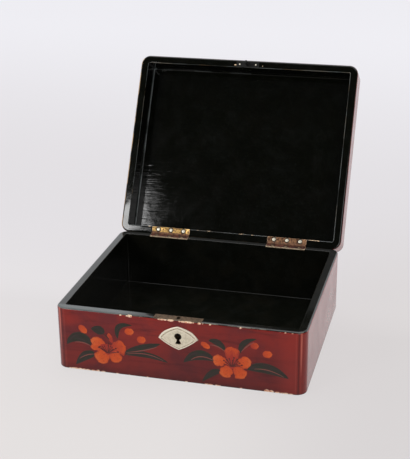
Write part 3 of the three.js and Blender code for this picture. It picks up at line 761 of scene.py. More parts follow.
def lidProfile():        # from the recess's ceiling down its wall, over the rim and up the outside
    low, top, wall, ceiling = (lidSize[name] for name in ("bottom", "top", "wall", "ceiling"))
    rounding, fillet, support = (shellLook[name] for name in ("lidTopRounding", "panelFillet", "support"))
    outer, inner = rimProfile(wall)
    profile = [(wall + fillet + support, ceiling)]
    profile += bend(wall + fillet, ceiling - fillet, fillet, 90, 0, 4)
    profile += [(wall, ceiling - depth) for depth in (1.9, 4, 9)]
    profile += [(wall, low + rise) for rise in (6, 2, 1.0)]
    profile += [(inset, low + depth) for inset, depth in reversed(outer + inner)]
    blackRings = len(profile) - 4
    profile += [(0, low + outer[0][1] + rise) for rise in (0.3, 1.0, 2, 5, 10)]
    profile += [(0, top - rounding - depth) for depth in (5, 1.5, 0.3)]
    profile += bend(rounding, top - rounding, rounding, 0, 90, 7)
    profile += [(rounding + support, top)]
    return profile, blackRings


# Wear. Chips lie along an edge: middle, half length and half height in millimetres. An edge is given by its
# distance in from the outer face and its distance from the rim or the foot.
chipLook = {
    "frontTop": {"inset": 0.3, "away": 1.2, "chips": (
        (-60, 0.5, 0.3), (-54.6, 1.0, 0.6), (-48.6, 0.9, 0.5), (-46, 2.1, 1.1), (-44.6, 0.9, 1.3),
        (-36, 0.6, 0.25), (-17.4, 1.3, 0.55), (-14.4, 1.5, 0.7), (-11.4, 1.1, 0.6), (-8, 1.0, 0.85),
        (-5.4, 1.7, 0.9), (2.2, 1.0, 0.6), (5.2, 1.5, 0.8), (8.6, 1.9, 1.0), (12.2, 1.8, 0.9),
        (15.2, 0.9, 0.5), (20.7, 1.4, 0.9), (24, 0.6, 0.4), (31, 1.0, 0.7), (38, 0.4, 0.3),
        (59.5, 0.9, 0.8), (75, 0.4, 0.25), (92, 0.5, 0.25), (96, 0.5, 0.3), (100.5, 1.0, 0.5),
        (104, 0.6, 0.35), (107, 1.0, 0.4), (-98, 0.7, 0.15), (-88, 0.9, 0.15), (-76, 0.8, 0.15))},
    "frontBottom": {"inset": 0.1, "away": 0.7, "chips": (
        (-107, 1.4, 0.4), (-104, 1.8, 0.7), (-101, 1.6, 0.9), (-97, 1.9, 0.8), (-93, 1.5, 0.7),
        (-89, 1.8, 0.6), (-84, 1.6, 0.6), (-79.4, 1.6, 1.1), (-74, 2.0, 0.5), (-60, 1.2, 0.4),
        (-48, 0.8, 0.3), (-30, 1.0, 0.4), (8, 1.4, 0.4), (27, 1.6, 0.5), (31, 2.2, 0.6), (38, 2.5, 0.5),
        (60, 1.2, 0.4), (84.4, 2.5, 1.8), (88.4, 2.2, 1.5), (94, 1.6, 0.8), (98, 1.1, 0.4),
        (102, 2.1, 0.6), (107, 1.8, 0.4))},
    "lidSeat": {"inset": 6.0, "away": 0.1, "chips": (
        (-12.5, 3.6, 0.5), (-8.4, 1.1, 0.7), (11.8, 0.8, 0.7), (16.6, 0.5, 0.5))},
    "lidBack": {"inset": 8.3, "away": 0.1, "chips": (
        (92, 5.5, 0.4), (97.5, 1.0, 0.7), (14, 2.5, 0.35), (26, 1.5, 0.35), (-22, 2.0, 0.3),
        (-34, 1.2, 0.3), (-88.5, 1.4, 0.5))},
    "rubInset": 0.8,          # the rubbed line on an outer arris
    "rubDepth": 0.6,
    "rubReach": 1.0,
    # rubbed wear with a painted highlight along the inner arris
    "innerRubAndHighlight": 0.4,
}


def chipAt(chips, along, away):        # 1 at a chip's heart, 0.5 at its edge
    best = 0.0
    for place, half, depth in chips:
        best = max(best, 1 - 0.5 * math.hypot((along - place) / half, away / depth))
    return best


def pastCorner(size, point):        # how far a point lies beyond the middle of its rounded corner
    x = abs(point.x) - (size["halfWidth"] - size["corner"])
    y = abs(point.y) - (size["halfDepth"] - size["corner"])
    return x, y


def insetOf(size, point):        # how far a point lies inside the outline
    x, y = pastCorner(size, point)
    return size["corner"] - math.hypot(max(x, 0), max(y, 0)) - min(max(x, y), 0)


def hump(value, middle, width, strength):
    return strength * math.exp(-((value - middle) / width) ** 2)


cornerLightLook = {        # painted highlight and painted shade: upright streaks on the rounded corners, by degrees round from the front, width, strength
    "soft": (4, 5, 0.35),
    "dark": (19, 6, -0.7),
    "bright": (31, 5, 1.0),
    "footShare": 0.35,        # of the bright one at the foot
    "fade": (18, 38),         # heights in millimetres between which it gains its strength
}


# painted light and shade on a rounded corner, by how far round it a point lies
def paintedCornerLight(size, point):
    look = cornerLightLook
    x, y = pastCorner(size, point)
    if x < -3 or y < -3:
        return 0.0
    turn = math.degrees(math.atan2(x, max(y, 0.01)))
    low, high = look["fade"]
    share = min(max((point.z - low) / (high - low), 0), 1)
    lit = look["footShare"] + (1 - look["footShare"]) * share
    return hump(turn, *look["soft"]) + hump(turn, *look["dark"]) + lit * hump(turn, *look["bright"])


# marks rubbed wear, chips, and painted light and shade on a shell
def markWearAndLight(piece, size, rim, edges, rubAt, shade):
    layers = {name: piece.data.attributes.new(name, "FLOAT", "POINT") for name in ("worn", "chip", "paintedLight")}
    look = chipLook
    for vertex in piece.data.vertices:
        point = vertex.co / mm
        inset = insetOf(size, point)
        depth = abs(point.z - rim)
        gap = math.hypot(inset - look["rubInset"], depth - look["rubDepth"])
        worn = rubAt(point) * (1 - gap / look["rubReach"])
        # along the inner arris the rubbed colour is also a painted highlight
        inner = look["innerRubAndHighlight"] * (1 - math.hypot(inset - size["wall"], depth) / look["rubReach"])
        chip = 0.0
        for name, height, front in edges:
            if (point.y < 0) == front:
                edge = look[name]
                gap = math.hypot(inset - edge["inset"], abs(point.z - height) - edge["away"])
                chip = max(chip, chipAt(edge["chips"], point.x, gap))
        layers["worn"].data[vertex.index].value = max(worn, inner, 0)
        layers["chip"].data[vertex.index].value = chip
        layers["paintedLight"].data[vertex.index].value = shade(size, point)


highlightLineLook = {        # painted highlight lines where the recess's walls meet the rim and the panel
    "rimReach": 0.9,
    "foldReach": 1.3,
    "foldInset": 0.5,
    "rimStrength": 0.8,
    "foldStrength": 0.45,
}


# painted highlight lines along the recess's edge and along the panel's fold
def lidHighlightLines(size, point):
    look = highlightLineLook
    inset, fold = insetOf(size, point) - size["wall"], look["foldInset"]
    edge = 1 - math.hypot(inset, point.z - size["bottom"]) / look["rimReach"]
    crease = 1 - math.hypot(inset - fold, point.z - size["ceiling"] + fold) / look["foldReach"]
    if point.x > 0:
        return max(edge, 0)
    if point.x > -size["halfWidth"] + size["wall"] + 3:
        return max(look["rimStrength"] * edge, look["foldStrength"] * crease, 0)
    return max(look["rimStrength"] * edge, crease, 0)


rubLook = {"front": 0.7, "frontLeft": 0.45, "lidLeft": 0.9, "elsewhere": 0.3}


def caseRub(point):        # most of all along the front
    if point.y >= -caseSize["halfDepth"] + 3:
        return rubLook["elsewhere"]
    return rubLook["frontLeft"] if point.x < -45 else rubLook["front"]


def lidRub(point):
    return rubLook["lidLeft"] if point.x < -lidSize["halfWidth"] + 3 else rubLook["elsewhere"]


# Seats for the hinges and the lock

hingeLook = {
    "barrel": 1.9,
    "leaf": 1.2,
    "knuckles": 5,
    "knuckleGap": 0.3,
    "rounding": 0.4,          # corners of a leaf
    "countersink": 2.7,
    "countersinkFoot": 1.1,
    "rubbedEdge": 0.3,
}
strikeThickness = 0.8
keyholeLook = {
    "radius": 3.4,
    "neck": 2.3,
    "flare": 5.8,
    "tail": 7.8,
    "bow": 0.5,
    "woodMargin": 0.6,
    "height": (nodeBox("drill_pin")[0].z + nodeBox("drill_pin")[1].z) / 2,
}


def leafBox(name, shut):        # the flat part of a CAD leaf, without its knuckles
    points = nodePoints(name, openToShut if shut else None)
    return corners([point for point in points if point.y < hingeAxis.y - 3])


def cutBlock(name, low, high):        # a block to be cut away, which lays bare the wood
    bm = bmesh.new()
    boxInto(bm, low, high)
    return newPiece(name, bm, [materials["wood"]])


def hingeCutters(owner):
    shut = owner == "lid"
    below, above = (1, seatGap) if shut else (seatGap, 1)
    cutters = []
    for hand in ("left", "right"):
        low, high = leafBox(f"{owner}_hinge_leaf_{hand}", shut)
        left, right = low.x - seatGap, high.x + seatGap
        block = ((left, low.y - seatGap, low.z - below), (right, hingeAxis.y, high.z + above))
        cutters.append(cutBlock("leafSeat", *block))
        bm = bmesh.new()
        ends = [(x, hingeAxis.y, hingeAxis.z) for x in (left, right)]
        turnedInto(bm, ends, [hingeLook["barrel"] + seatGap] * 2)
        cutters.append(newPiece("barrelSeat", bm, [materials["wood"]]))
    return cutters


def keyholeOutline(margin):
    look = keyholeLook
    radius = look["radius"] + margin
    start = math.asin((look["neck"] / 2 + margin) / radius)
    points = []
    for i in range(29):
        angle = start - math.pi / 2 + (2 * math.pi - 2 * start) * i / 28
        points.append((radius * math.cos(angle), look["height"] + radius * math.sin(angle)))
    foot = look["height"] - look["tail"] - margin
    flare = look["flare"] / 2 + margin
    for i in range(9):
        across = i / 4 - 1
        points.append((flare * across, foot + look["bow"] * across * across))
    return points


def lockCutters():
    plateLow, plateHigh = nodeBox("lock_plate")
    lockLow, lockHigh = nodeBox("lock_case")
    left, right = plateLow.x - seatGap, plateHigh.x + seatGap
    behind, over = plateHigh.y + 1, plateHigh.z + 1
    blocks = (
        ((left, plateHigh.y - 1 - seatGap, plateLow.z - seatGap), (right, behind, over)),
        ((left, plateLow.y - seatGap, plateHigh.z - 1 - seatGap), (right, behind, over)),
        ([low - seatGap for low in lockLow], (lockHigh.x + seatGap, plateHigh.y, plateHigh.z)),
    )
    cutters = [cutBlock("lockSeat", low, high) for low, high in blocks]
    bm = bmesh.new()
    # the keyhole's walls take dark iron: painted shade in the hole
    prismInto(bm, keyholeOutline(keyholeLook["woodMargin"]), -caseSize["halfDepth"] - 1, lockLow.y + 1)
    cutters.append(newPiece("keyholeCut", bm, [materials["darkIron"]]))
    return cutters


def strikeCutter():
    low, high = shutBox("lid_strike_plate")
    seat = lidSize["bottom"] + strikeThickness + seatGap
    return cutBlock("strikeSeat", (low.x - seatGap, low.y - seatGap, low.z),
                    (high.x + seatGap, high.y + seatGap, seat))


def makeCase():
    profile, redRings = caseProfile()
    bm = loftShell(caseSize, profile, lambda index: 0 if 4 < index < redRings else 1)
    planeOff(bm, -1)
    piece = newPiece("caseShell", bm, [materials["red"], materials["black"], materials["wood"]])
    carve(piece, hingeCutters("case") + lockCutters())
    soften(piece)
    edges = (("frontTop", caseSize["top"], True), ("frontBottom", caseSize["bottom"], True))
    markWearAndLight(piece, caseSize, caseSize["top"], edges, caseRub, paintedCornerLight)
    boards = [f"{side}_wall" for side in ("front", "back", "left", "right")] + ["bottom_board"]
    settle(piece, "base", "red_lacquer", *boards)
    print("case made:", len(piece.data.polygons), "faces")


def makeLid():
    profile, blackRings = lidProfile()
    bm = loftShell(lidSize, profile, lambda index: 1 if index < blackRings else 0)
    planeOff(bm, 1)
    piece = newPiece("lidShell", bm, [materials["red"], materials["lidBlack"], materials["wood"]])
    carve(piece, hingeCutters("lid") + [strikeCutter()])
    edges = (("lidSeat", lidSize["bottom"], True), ("lidBack", lidSize["bottom"], False))
    markWearAndLight(piece, lidSize, lidSize["bottom"], edges, lidRub, lidHighlightLines)
    carry(piece, shutToOpen)
    soften(piece)
    boards = [f"lid_{side}_rail" for side in ("front", "back", "left", "right")] + ["lid_top_panel"]
    settle(piece, "lid", "black_lacquer", *boards)
    print("lid made:", len(piece.data.polygons), "faces")


makeCase()
makeLid()


# Hinges. Each leaf is a plate with its own knuckles, and the pin runs through both.

def plateRing(low, high, inset, height):        # once round a leaf's rounded outline
    radius = hingeLook["rounding"]
    left, right = low.x + radius, high.x - radius
    near, far = low.y + radius, high.y - radius
    ring = []
    for x, y, start in ((right, near, -90), (right, far, 0), (left, far, 90), (left, near, 180)):
        for angle in (math.radians(start + 30 * step) for step in range(4)):
            across = (radius - inset) * math.cos(angle)
            along = (radius - inset) * math.sin(angle)
            ring.append((x + across, y + along, height))
    return ring


def leafInto(bm, worn, low, high, side, spans):
    look = hingeLook
    face = low.z if side > 0 else high.z
    flat = Vector((high.x, hingeAxis.y - look["barrel"] * 0.85, 0))
    insets = (0.0, 0.0, 0.07, 0.2, 0.38)
    depths = (look["leaf"], 0.25, 0.07, 0.0, 0.0)
    rings = [plateRing(low, flat, inset, face + side * depth) for inset, depth in zip(insets, depths)]
    skinInto(bm, rings, None, worn, (0.9, 1.0, 1.2, 0.9, 0.0))
    inner = face + side * look["leaf"]
    for start, end in spans:
        ends = [(x, hingeAxis.y, hingeAxis.z) for x in (start, start + 0.15, end - 0.15, end)]
        radii = [look["barrel"] - 0.15, look["barrel"], look["barrel"], look["barrel"] - 0.15]
        turnedInto(bm, ends, radii, 32, 1)
        boxInto(bm, (start, flat.y - 0.4, min(face, inner)), (end, hingeAxis.y - 0.2, max(face, inner)))


def countersinks(owner, hand, side, face):
    cutters = []
    for i in (1, 2, 3):
        name = f"{owner}_hinge_screw_{hand}_{i}"
        low, high = shutBox(name) if owner == "lid" else nodeBox(name)
        middle = (low + high) / 2
        bm = bmesh.new()
        depths = (-0.2, 0.0, hingeLook["leaf"] * 0.9, hingeLook["leaf"] + 0.3)
        radii = [hingeLook["countersink"]] * 2 + [hingeLook["countersinkFoot"]] * 2
        turnedInto(bm, [(middle.x, middle.y, face + side * depth) for depth in depths], radii, 24)
        # the cut leaves the countersink's walls in dark iron: painted shade round the screw head
        cutters.append(newPiece("countersink", bm, [materials["darkIron"]]))
    return cutters


def restRub(leaf, low, high):        # only the ends and the free edge of a cut leaf stay rubbed
    edge = hingeLook["rubbedEdge"]
    for vertex, worn in zip(leaf.data.vertices, leaf.data.attributes["worn"].data):
        x, y = vertex.co.x / mm, vertex.co.y / mm
        if low.x + edge < x < high.x - edge and y > low.y + edge:
            worn.value = 0


def makeHinge(hand, finish):
    for owner, side, body in (("case", -1, "base"), ("lid", 1, "lid")):
        name = f"{owner}_hinge_leaf_{hand}"
        low, high = leafBox(name, side > 0)
        pitch = (high.x - low.x) / hingeLook["knuckles"]
        gap = hingeLook["knuckleGap"] / 2
        first = 0 if side < 0 else 1
        spans = [(low.x + i * pitch + gap, low.x + (i + 1) * pitch - gap)
                 for i in range(first, hingeLook["knuckles"], 2)]
        bm = bmesh.new()
        worn = bm.verts.layers.float.new("worn")
        leafInto(bm, worn, low, high, side, spans)
        metal = finish if side > 0 else "caseBrass"
        leaf = newPiece(f"{owner}HingeLeaf_{hand}", bm, [materials[metal], materials["dullBarrel"]])
        carve(leaf, countersinks(owner, hand, side, low.z if side > 0 else high.z), overlapping=True)
        restRub(leaf, low, high)
        if side > 0:
            carry(leaf, shutToOpen)
        soften(leaf)
        settle(leaf, body, "hinge_brass", name)


def screwsOf(owner):
    return [f"{owner}_hinge_screw_{hand}_{i}" for hand in ("left", "right") for i in (1, 2, 3)]


for hand, finish in (("left", "brass"), ("right", "copper")):
    makeHinge(hand, finish)
up, down = (0, 0, 1), (0, 0, -1)
driveFasteners("caseHingeScrews", "caseHingeScrew", screwsOf("case"), up, "base", "steel", seed=3)
driveFasteners("lidHingeScrews", "lidHingeScrew", screwsOf("lid"), down, "lid", "steel", shut=True, seed=5)
print("hinges made")


# Lock and strike fasteners

lockScrews = [f"lock_screw_{row}_{side}" for row in ("upper", "lower") for side in ("left", "right")]
driveFasteners("lockScrews", "lockScrew", lockScrews, (0, 1, 0), "base", "steel", seed=7)
strikeNails = [f"strike_nail_{side}" for side in ("left", "right")]
driveFasteners("strikeNails", "strikeNail", strikeNails, down, "lid", "steel", shut=True, seed=9)
print("lock fasteners driven")


# Escutcheon. A pressed plate with pointed ends and a beaded border, nailed on a little askew.

plateLow, plateHigh = nodeBox("escutcheon")
escutcheonLook = {
    "halfLength": (plateHigh.x - plateLow.x) / 2,
    "rise": 12.1,             # from the tips up to the crown
    "hang": plateHigh.z - plateLow.z - 12.1,
    "shoulder": 13.2,         # each side's shoulder from the middle
    "shoulderRise": 6.8,
    "bulge": 1.2,             # how far a side bows out between its ends
    "tilt": 2.5,
    "shift": (0.8, 0, 0.5),
    "steps": 14,
    "profile": (              # inset, depth behind the face, rubbed bright
        (0.0, 1.05, 0.0), (0.0, 0.5, 0.6), (0.1, 0.25, 1.0), (0.4, 0.08, 1.0), (0.9, 0.02, 0.6),
        (1.35, 0.12, 0.2), (1.6, 0.28, 0.0), (1.9, 0.28, 0.0), (2.15, 0.12, 0.6), (2.6, 0.04, 0.4),
        (4.4, 0.0, 0.0)),
    "grooves": (5, 6, 7),     # rings of the border's groove
    "bead": 0.46,
    "beadPitch": 1.55,
    "beadInset": 1.0,
}
keyholeMiddle = Vector((0, 0, keyholeLook["height"]))
plateTurn = (Matrix.Translation(keyholeMiddle + Vector(escutcheonLook["shift"]))
             @ Matrix.Rotation(math.radians(-escutcheonLook["tilt"]), 4, "Y")
             @ Matrix.Translation(-keyholeMiddle))


def escutcheonRing(inset, y):
    look = escutcheonLook
    middle = (keyholeLook["radius"] - keyholeLook["tail"]) / 2 + keyholeLook["height"]
    reach = look["halfLength"] - inset * math.sqrt(2)
    across, up = look["shoulder"] - inset, look["shoulderRise"] - inset
    crown, foot = look["rise"] - inset, inset - look["hang"]
    outline = ((reach, 0), (across, up), (0, crown), (-across, up), (-reach, 0), (0, foot))
    points = [Vector(point) for point in outline]
    ring = []
    for i, start in enumerate(points):
        end = points[(i + 1) % len(points)]
        side = end - start
        bow = Vector((side.y, -side.x)).normalized() * look["bulge"] * side.length / look["shoulder"]
        control = (start + end) / 2 + bow
        for step in range(look["steps"]):
            t = step / look["steps"]
            place = start * (1 - t) ** 2 + control * 2 * t * (1 - t) + end * t ** 2
            ring.append((place.x, y, middle + place.y))
    return ring


def makeBeadingTree():        # small beads at an even pitch along a closed line
    tree, given, out = geometryTree("beading", [
        ("Pitch", "Float", 0.00125), ("Radius", "Float", 0.00036), ("Uneven", "Float", 0.2),
        ("Seed", "Int", 1), ("Material", "Material", None)])
    line = put(tree, "GeometryNodeMeshToCurve", {"Mesh": given["Geometry"]}).outputs[0]
    stops = put(tree, "GeometryNodeResampleCurve", {"Curve": line, "Length": given["Pitch"]},
                mode="LENGTH").outputs[0]
    bead = ballOf(tree, 8, 5, given["Radius"])
    size = anyValue(tree, minus(tree, 1.0, given["Uneven"]), 1.0, given["Seed"])
    beads = strewn(tree, stops, bead, Scale=size)
    finishTree(tree, out, beads, given["Material"])
    return tree


def makeEscutcheon():
    look = escutcheonLook
    face = plateLow.y
    bm = bmesh.new()
    worn = bm.verts.layers.float.new("worn")
    insets, depths, rubs = zip(*look["profile"])
    rings = [escutcheonRing(inset, face + depth) for inset, depth in zip(insets, depths)]
    skinInto(bm, rings, lambda index: 1 if index in look["grooves"] else 0, worn, rubs)
    plate = newPiece("escutcheonPlate", bm, [materials["plate"], materials["plateGroove"]])
    cutter = bmesh.new()
    prismInto(cutter, keyholeOutline(0), face - 1, face + 3)
    carve(plate, [newPiece("keyholeCut", cutter, [materials["plateGroove"]])])
    beads = bmesh.new()
    line = [beads.verts.new(point) for point in escutcheonRing(look["beadInset"], face + 0.3)]
    for i, vertex in enumerate(line):
        beads.edges.new((line[i - 1], vertex))
    border = newPiece("escutcheonBeads", beads, [materials["plate"]])
    grow(border, makeBeadingTree(), {
        "Pitch": look["beadPitch"] * mm,
        "Radius": look["bead"] * mm,
        "Seed": 11,
        "Material": materials["plate"],
    })
    for piece in (plate, border):
        carry(piece, plateTurn)
        soften(piece, 40)
    settle(plate, "base", "pale_metal", "escutcheon")
    settle(border, "base", "pale_metal")
    pins = [f"escutcheon_pin_{side}" for side in ("left", "right")]
    driveFasteners("escutcheonPins", "platePin", pins, (0, -1, 0), "base", "pale_metal",
                   move=plateTurn, seed=13)


makeEscutcheon()
print("escutcheon made")


# Painted sprays. Each petal, leaf and bud is a thin closed blade of paint on the front wall.

frontFace = -caseSize["halfDepth"]


def curvePoint(spine, t):        # a curve through two, three or four points
    if len(spine) == 2:
        return spine[0].lerp(spine[1], t)
    if len(spine) == 3:
        middle = 2 * spine[1] - (spine[0] + spine[2]) / 2
        return spine[0] * (1 - t) ** 2 + middle * 2 * t * (1 - t) + spine[2] * t ** 2
    a, b, c, d = spine
    return a * (1 - t) ** 3 + b * 3 * t * (1 - t) ** 2 + c * 3 * t * t * (1 - t) + d * t ** 3


def bladeInto(bm, layers, slot, spine, widthAt, lift, tint=0.5, notch=0.0, wave=0.05, rows=16, seed=0.0):
    spine = [Vector(point) for point in spine]
    across = (-1, -0.84, -0.6, -0.3, 0, 0.3, 0.6, 0.84, 1)
    tops, bases = [], []
    for row in range(rows + 1):
        t = row / rows
        here = curvePoint(spine, t)
        ahead = (curvePoint(spine, min(t + 0.01, 1)) - curvePoint(spine, max(t - 0.01, 0))).normalized()
        side = Vector((-ahead.y, ahead.x))
        left, right = widthAt(t)
        topRow, baseRow = [], []
        for share in across:
            half = left if share > 0 else right
            wobble = 1 + wave * noise.noise(Vector((t * 6, share * 1.5, seed)))
            ragged = notch * (1 - abs(share)) + 6 * wave * noise.noise(Vector((share * 3.2, seed, 2.0)))
            point = here + side * share * max(half, 0.1) * wobble - ahead * ragged * t ** 6
            crown = 1 - 0.55 * abs(share) ** 3
            topRow.append(bm.verts.new((point.x, frontFace - lift * crown, point.y)))
            baseRow.append(bm.verts.new((point.x, frontFace + 0.05, point.y)))
        tops.append(topRow)
        bases.append(baseRow)

    def face(corner, marks):
        made = bm.faces.new(corner)
        made.material_index = slot
        for loop, mark in zip(made.loops, marks):
            loop[layers["uv"]].uv = mark
            loop.vert[layers["tint"]] = tint

    wide = len(across)
    for row in range(rows):
        u0, u1 = row / rows, (row + 1) / rows
        for i in range(wide - 1):
            v0, v1 = (across[i] + 1) / 2, (across[i + 1] + 1) / 2
            face([tops[row][i], tops[row + 1][i], tops[row + 1][i + 1], tops[row][i + 1]],
                 [(u0, v0), (u1, v0), (u1, v1), (u0, v1)])
            face([bases[row][i], bases[row][i + 1], bases[row + 1][i + 1], bases[row + 1][i]],
                 [(u0, v0), (u0, v1), (u1, v1), (u1, v0)])
        for i, v in ((0, 0.0), (wide - 1, 1.0)):
            face([tops[row][i], bases[row][i], bases[row + 1][i], tops[row + 1][i]],
                 [(u0, v), (u0, v), (u1, v), (u1, v)])
    for row, u in ((0, 0.0), (rows, 1.0)):
        for i in range(wide - 1):
            v0, v1 = (across[i] + 1) / 2, (across[i + 1] + 1) / 2
            face([tops[row][i], tops[row][i + 1], bases[row][i + 1], bases[row][i]],
                 [(u, v0), (u, v1), (u, v1), (u, v0)])


def leafWidth(left, right, fullest=0.45):        # pointed at both ends
    power = math.log(0.5) / math.log(fullest)
    return lambda t: tuple(1.1 * half * math.sin(math.pi * t ** power) ** 0.7 for half in (left, right))


def petalWidth(half, fullest=0.64):        # narrow at the heart, broad and round at the tip
    def widthAt(t):
        if t < fullest:
            share = math.sin(math.pi / 2 * t / fullest) ** 0.6
        else:
            share = math.sqrt(max(1 - ((t - fullest) / (1 - fullest)) ** 2, 0))
        return half * share, half * share

    return widthAt


def budWidth(half):
    return lambda t: (half * math.sqrt(max(1 - (2 * t - 1) ** 2, 0)),) * 2


def lineWidth(half):
    return lambda t: (half * (0.35 + 0.65 * math.sin(math.pi * t)),) * 2


# Places are X and height on the front face. Leaves: spine, left and right half widths. Buds: start, end,
# half width, tint. Petals: start, end, half width, tint, notch. Heart: middle, half width, half height.
sprayLook = {
    "left": {
        "leaves": (
            (((-85.5, 26.6), (-97, 31), (-109, 25.8)), 0.9, 8.6),
            (((-70.9, 42.2), (-77, 44.2), (-84.2, 45)), 4.0, 4.4),
            (((-58.2, 37.5), (-61, 51), (-55.5, 53.5), (-43.6, 52.9)), 2.4, 2.8),
            (((-81.2, 17.8), (-90, 15.2), (-101, 5.2)), 3.4, 5.2),
            (((-52, 23.8), (-35, 30.6), (-16.6, 36.8)), 3.2, 3.6),
            (((-52, 22), (-30, 24.2), (-9.6, 18.2)), 2.4, 3.2),
        ),
        "ribs": (
            ((-101.2, 28.8), (-93, 29.3), (-84.5, 26.4)),
            ((-97.1, 12), (-89.3, 16.7), (-81.3, 18.4)),
            ((-50, 24.2), (-33, 28.4), (-20, 33.5)),
            ((-50, 22.4), (-31.4, 24.6), (-14, 19.8)),
        ),
        "stems": (((-72.4, 40.7), (-68, 37.5), (-64.6, 33)), ((-79.5, 31.5), (-74, 29.6), (-69.5, 26.5))),
        "buds": (
            ((-96, 47.2), (-88.9, 39.9), 3.5, 0.62),
            ((-51.2, 45.8), (-42.2, 46.6), 3.7, 0.72),
            ((-39.4, 38.8), (-30.7, 39.5), 3.8, 0.6),
        ),
        "petals": (
            ((-63.4, 32), (-67.4, 42), 2.3, 0.3, 0.0),
            ((-70, 28.5), (-84.6, 33.6), 5.4, 0.75, 1.4),
            ((-72, 25.6), (-85.4, 25.8), 3.4, 0.6, 0.8),
            ((-65.5, 25.4), (-50.6, 30.6), 7.6, 0.45, 1.1),
            ((-66.6, 26.4), (-78.4, 11.4), 7.2, 0.7, 1.4),
            ((-65.4, 26), (-57.6, 12.4), 6.2, 0.65, 1.2),
            ((-75.6, 29), (-61.6, 22.8), 4.8, 0.12, 0.2),
        ),
        "heart": (-68.6, 25, 5.3, 5.9),
    },
    "right": {
        "leaves": (
            (((45.2, 37.4), (37.6, 44.6), (29.4, 45.8)), 2.6, 3.6),
            (((34.4, 26), (20, 29.4), (5.6, 20.8)), 4.2, 5.4),
            (((41.5, 15.8), (33, 12.4), (23.4, 2.8)), 2.6, 3.6),
            (((59, 36.6), (62.6, 47.4), (74.2, 52.8)), 2.5, 2.8),
            (((65.6, 21), (84, 22.8), (104.2, 16.2)), 6.0, 3.8),
        ),
        "ribs": (
            ((30.6, 41.8), (37.6, 41.2), (45, 36.8)),
            ((12.8, 24.2), (22.4, 28.7), (35, 26)),
            ((60.4, 38.6), (65.6, 44.6), (72, 49.6)),
            ((72.4, 22.2), (86, 22.4), (100, 17.2)),
        ),
        "stems": (((44.4, 37.4), (46, 36.2), (47.2, 34)),),
        "buds": (
            ((22.4, 43.6), (30.6, 38.4), 2.9, 0.66),
            ((68.6, 45.4), (76.4, 46.4), 3.5, 0.42),
            ((79.9, 38.2), (88.9, 39.3), 3.7, 0.62),
        ),
        "petals": (
            ((47, 26.2), (33.4, 27.4), 6.0, 0.78, 1.2),
            ((56, 26.6), (69.4, 28.6), 6.2, 0.7, 1.3),
            ((49.6, 23), (43.4, 10.4), 6.2, 0.72, 1.4),
            ((53.6, 22.6), (63.4, 11.4), 6.2, 0.66, 1.4),
            ((51.4, 25), (51.6, 41.8), 6.9, 0.34, 1.6),
            ((51.4, 35.6), (51.4, 19.2), 5.8, 0.22, 0.5),
        ),
        "heart": (51.4, 26.6, 5.0, 7.0),
    },
    "lift": {        # how far the paint stands proud
        "leaves": 0.05, "stems": 0.075, "buds": 0.08, "petals": 0.085, "ribs": 0.09, "heart": 0.16,
        "step": 0.012},
    "stamens": {"Count": 14, "Fan": 2.3, "Seed": 21},
    "stamenSizes": {"Length": 11, "Width": 0.95, "Height": 0.26, "Tip": 1.9},
}

paintFinish = {
    "orange": tone(206, 78, 24),
    "pale": tone(222, 118, 60),
    "red": tone(160, 46, 32),
    "outline": tone(128, 38, 28),
    "leaf": tone(40, 40, 28),
    "leafDusk": tone(58, 44, 44),
    "leafGreen": tone(34, 52, 34),
    "rib": tone(146, 90, 78),
    "stamen": tone(58, 24, 12),
    "edge": tone(104, 36, 34),
}


def paint(name):        # what all brushed paint shares
    look = redFinish
    material, tree, principled, place = newMaterial(name, {
        "Specular IOR Level": look["specular"],
        "Sheen Weight": look["sheen"],
        "Sheen Roughness": look["sheenRoughness"],
        "Roughness": look["roughness"] + 0.05,
    })
    mark = put(tree, "ShaderNodeUVMap", uv_map="strokes").outputs[0]
    return material, tree, principled, place, mark, drawnOut(tree, mark, (2.0, 14.0, 1.0))


def brushRim(tree, place, mark, low, high, most):        # a ragged line along a blade's sides
    rim = maths(tree, "ABSOLUTE", minus(tree, partsOf(tree, mark)["Y"], 0.5))
    ragged = minus(tree, cloudsOf(tree, place, 900.0, 3.0), 0.5)
    return spread(tree, plus(tree, rim, times(tree, ragged, 0.25)), low, high, 0.0, most)


def petalPaint():
    material, tree, principled, place, mark, streaks = paint("petalPaint")
    look = paintFinish
    mixed = plus(tree, times(tree, streaks, 0.7), times(tree, partsOf(tree, mark)["X"], 0.45))
    mixed = plus(tree, mixed, minus(tree, marked(tree, "tint"), 0.62))
    colour = blend(tree, spread(tree, mixed, 0.1, 0.75), look["red"], look["orange"])
    colour = blend(tree, spread(tree, mixed, 0.62, 1.1, 0.0, 0.6), colour, look["pale"])
    flecks = spread(tree, drawnOut(tree, mark, (7.0, 9.0, 1.0), 2.0), 0.54, 0.66, 0.0, 0.3)
    colour = blend(tree, flecks, colour, look["outline"])
    colour = blend(tree, brushRim(tree, place, mark, 0.38, 0.54, 0.85), colour, look["outline"])
    finishMaterial(tree, principled, colour, None, streaks, 0.3, 0.05)
    return material


def leafPaint():
    material, tree, principled, place, mark, streaks = paint("leafPaint")
    look = paintFinish
    colour = blend(tree, spread(tree, streaks, 0.35, 0.7), look["leaf"], look["leafDusk"])
    greened = spread(tree, cloudsOf(tree, place, 160.0), 0.5, 0.7, 0.0, 0.7)
    colour = blend(tree, greened, colour, look["leafGreen"])
    colour = blend(tree, brushRim(tree, place, mark, 0.42, 0.56, 0.9), colour, look["edge"])
    finishMaterial(tree, principled, colour, None, streaks, 0.3, 0.05)
    return material


def linePaint(name):
    material, tree, principled, place, mark, streaks = paint(name + "Paint")
    colour = blend(tree, streaks, paintFinish[name], paintFinish["edge"])
    finishMaterial(tree, principled, colour, None, streaks, 0.2, 0.05)
    return material


sprayMaterials = [petalPaint(), leafPaint(), linePaint("rib"), linePaint("stamen")]


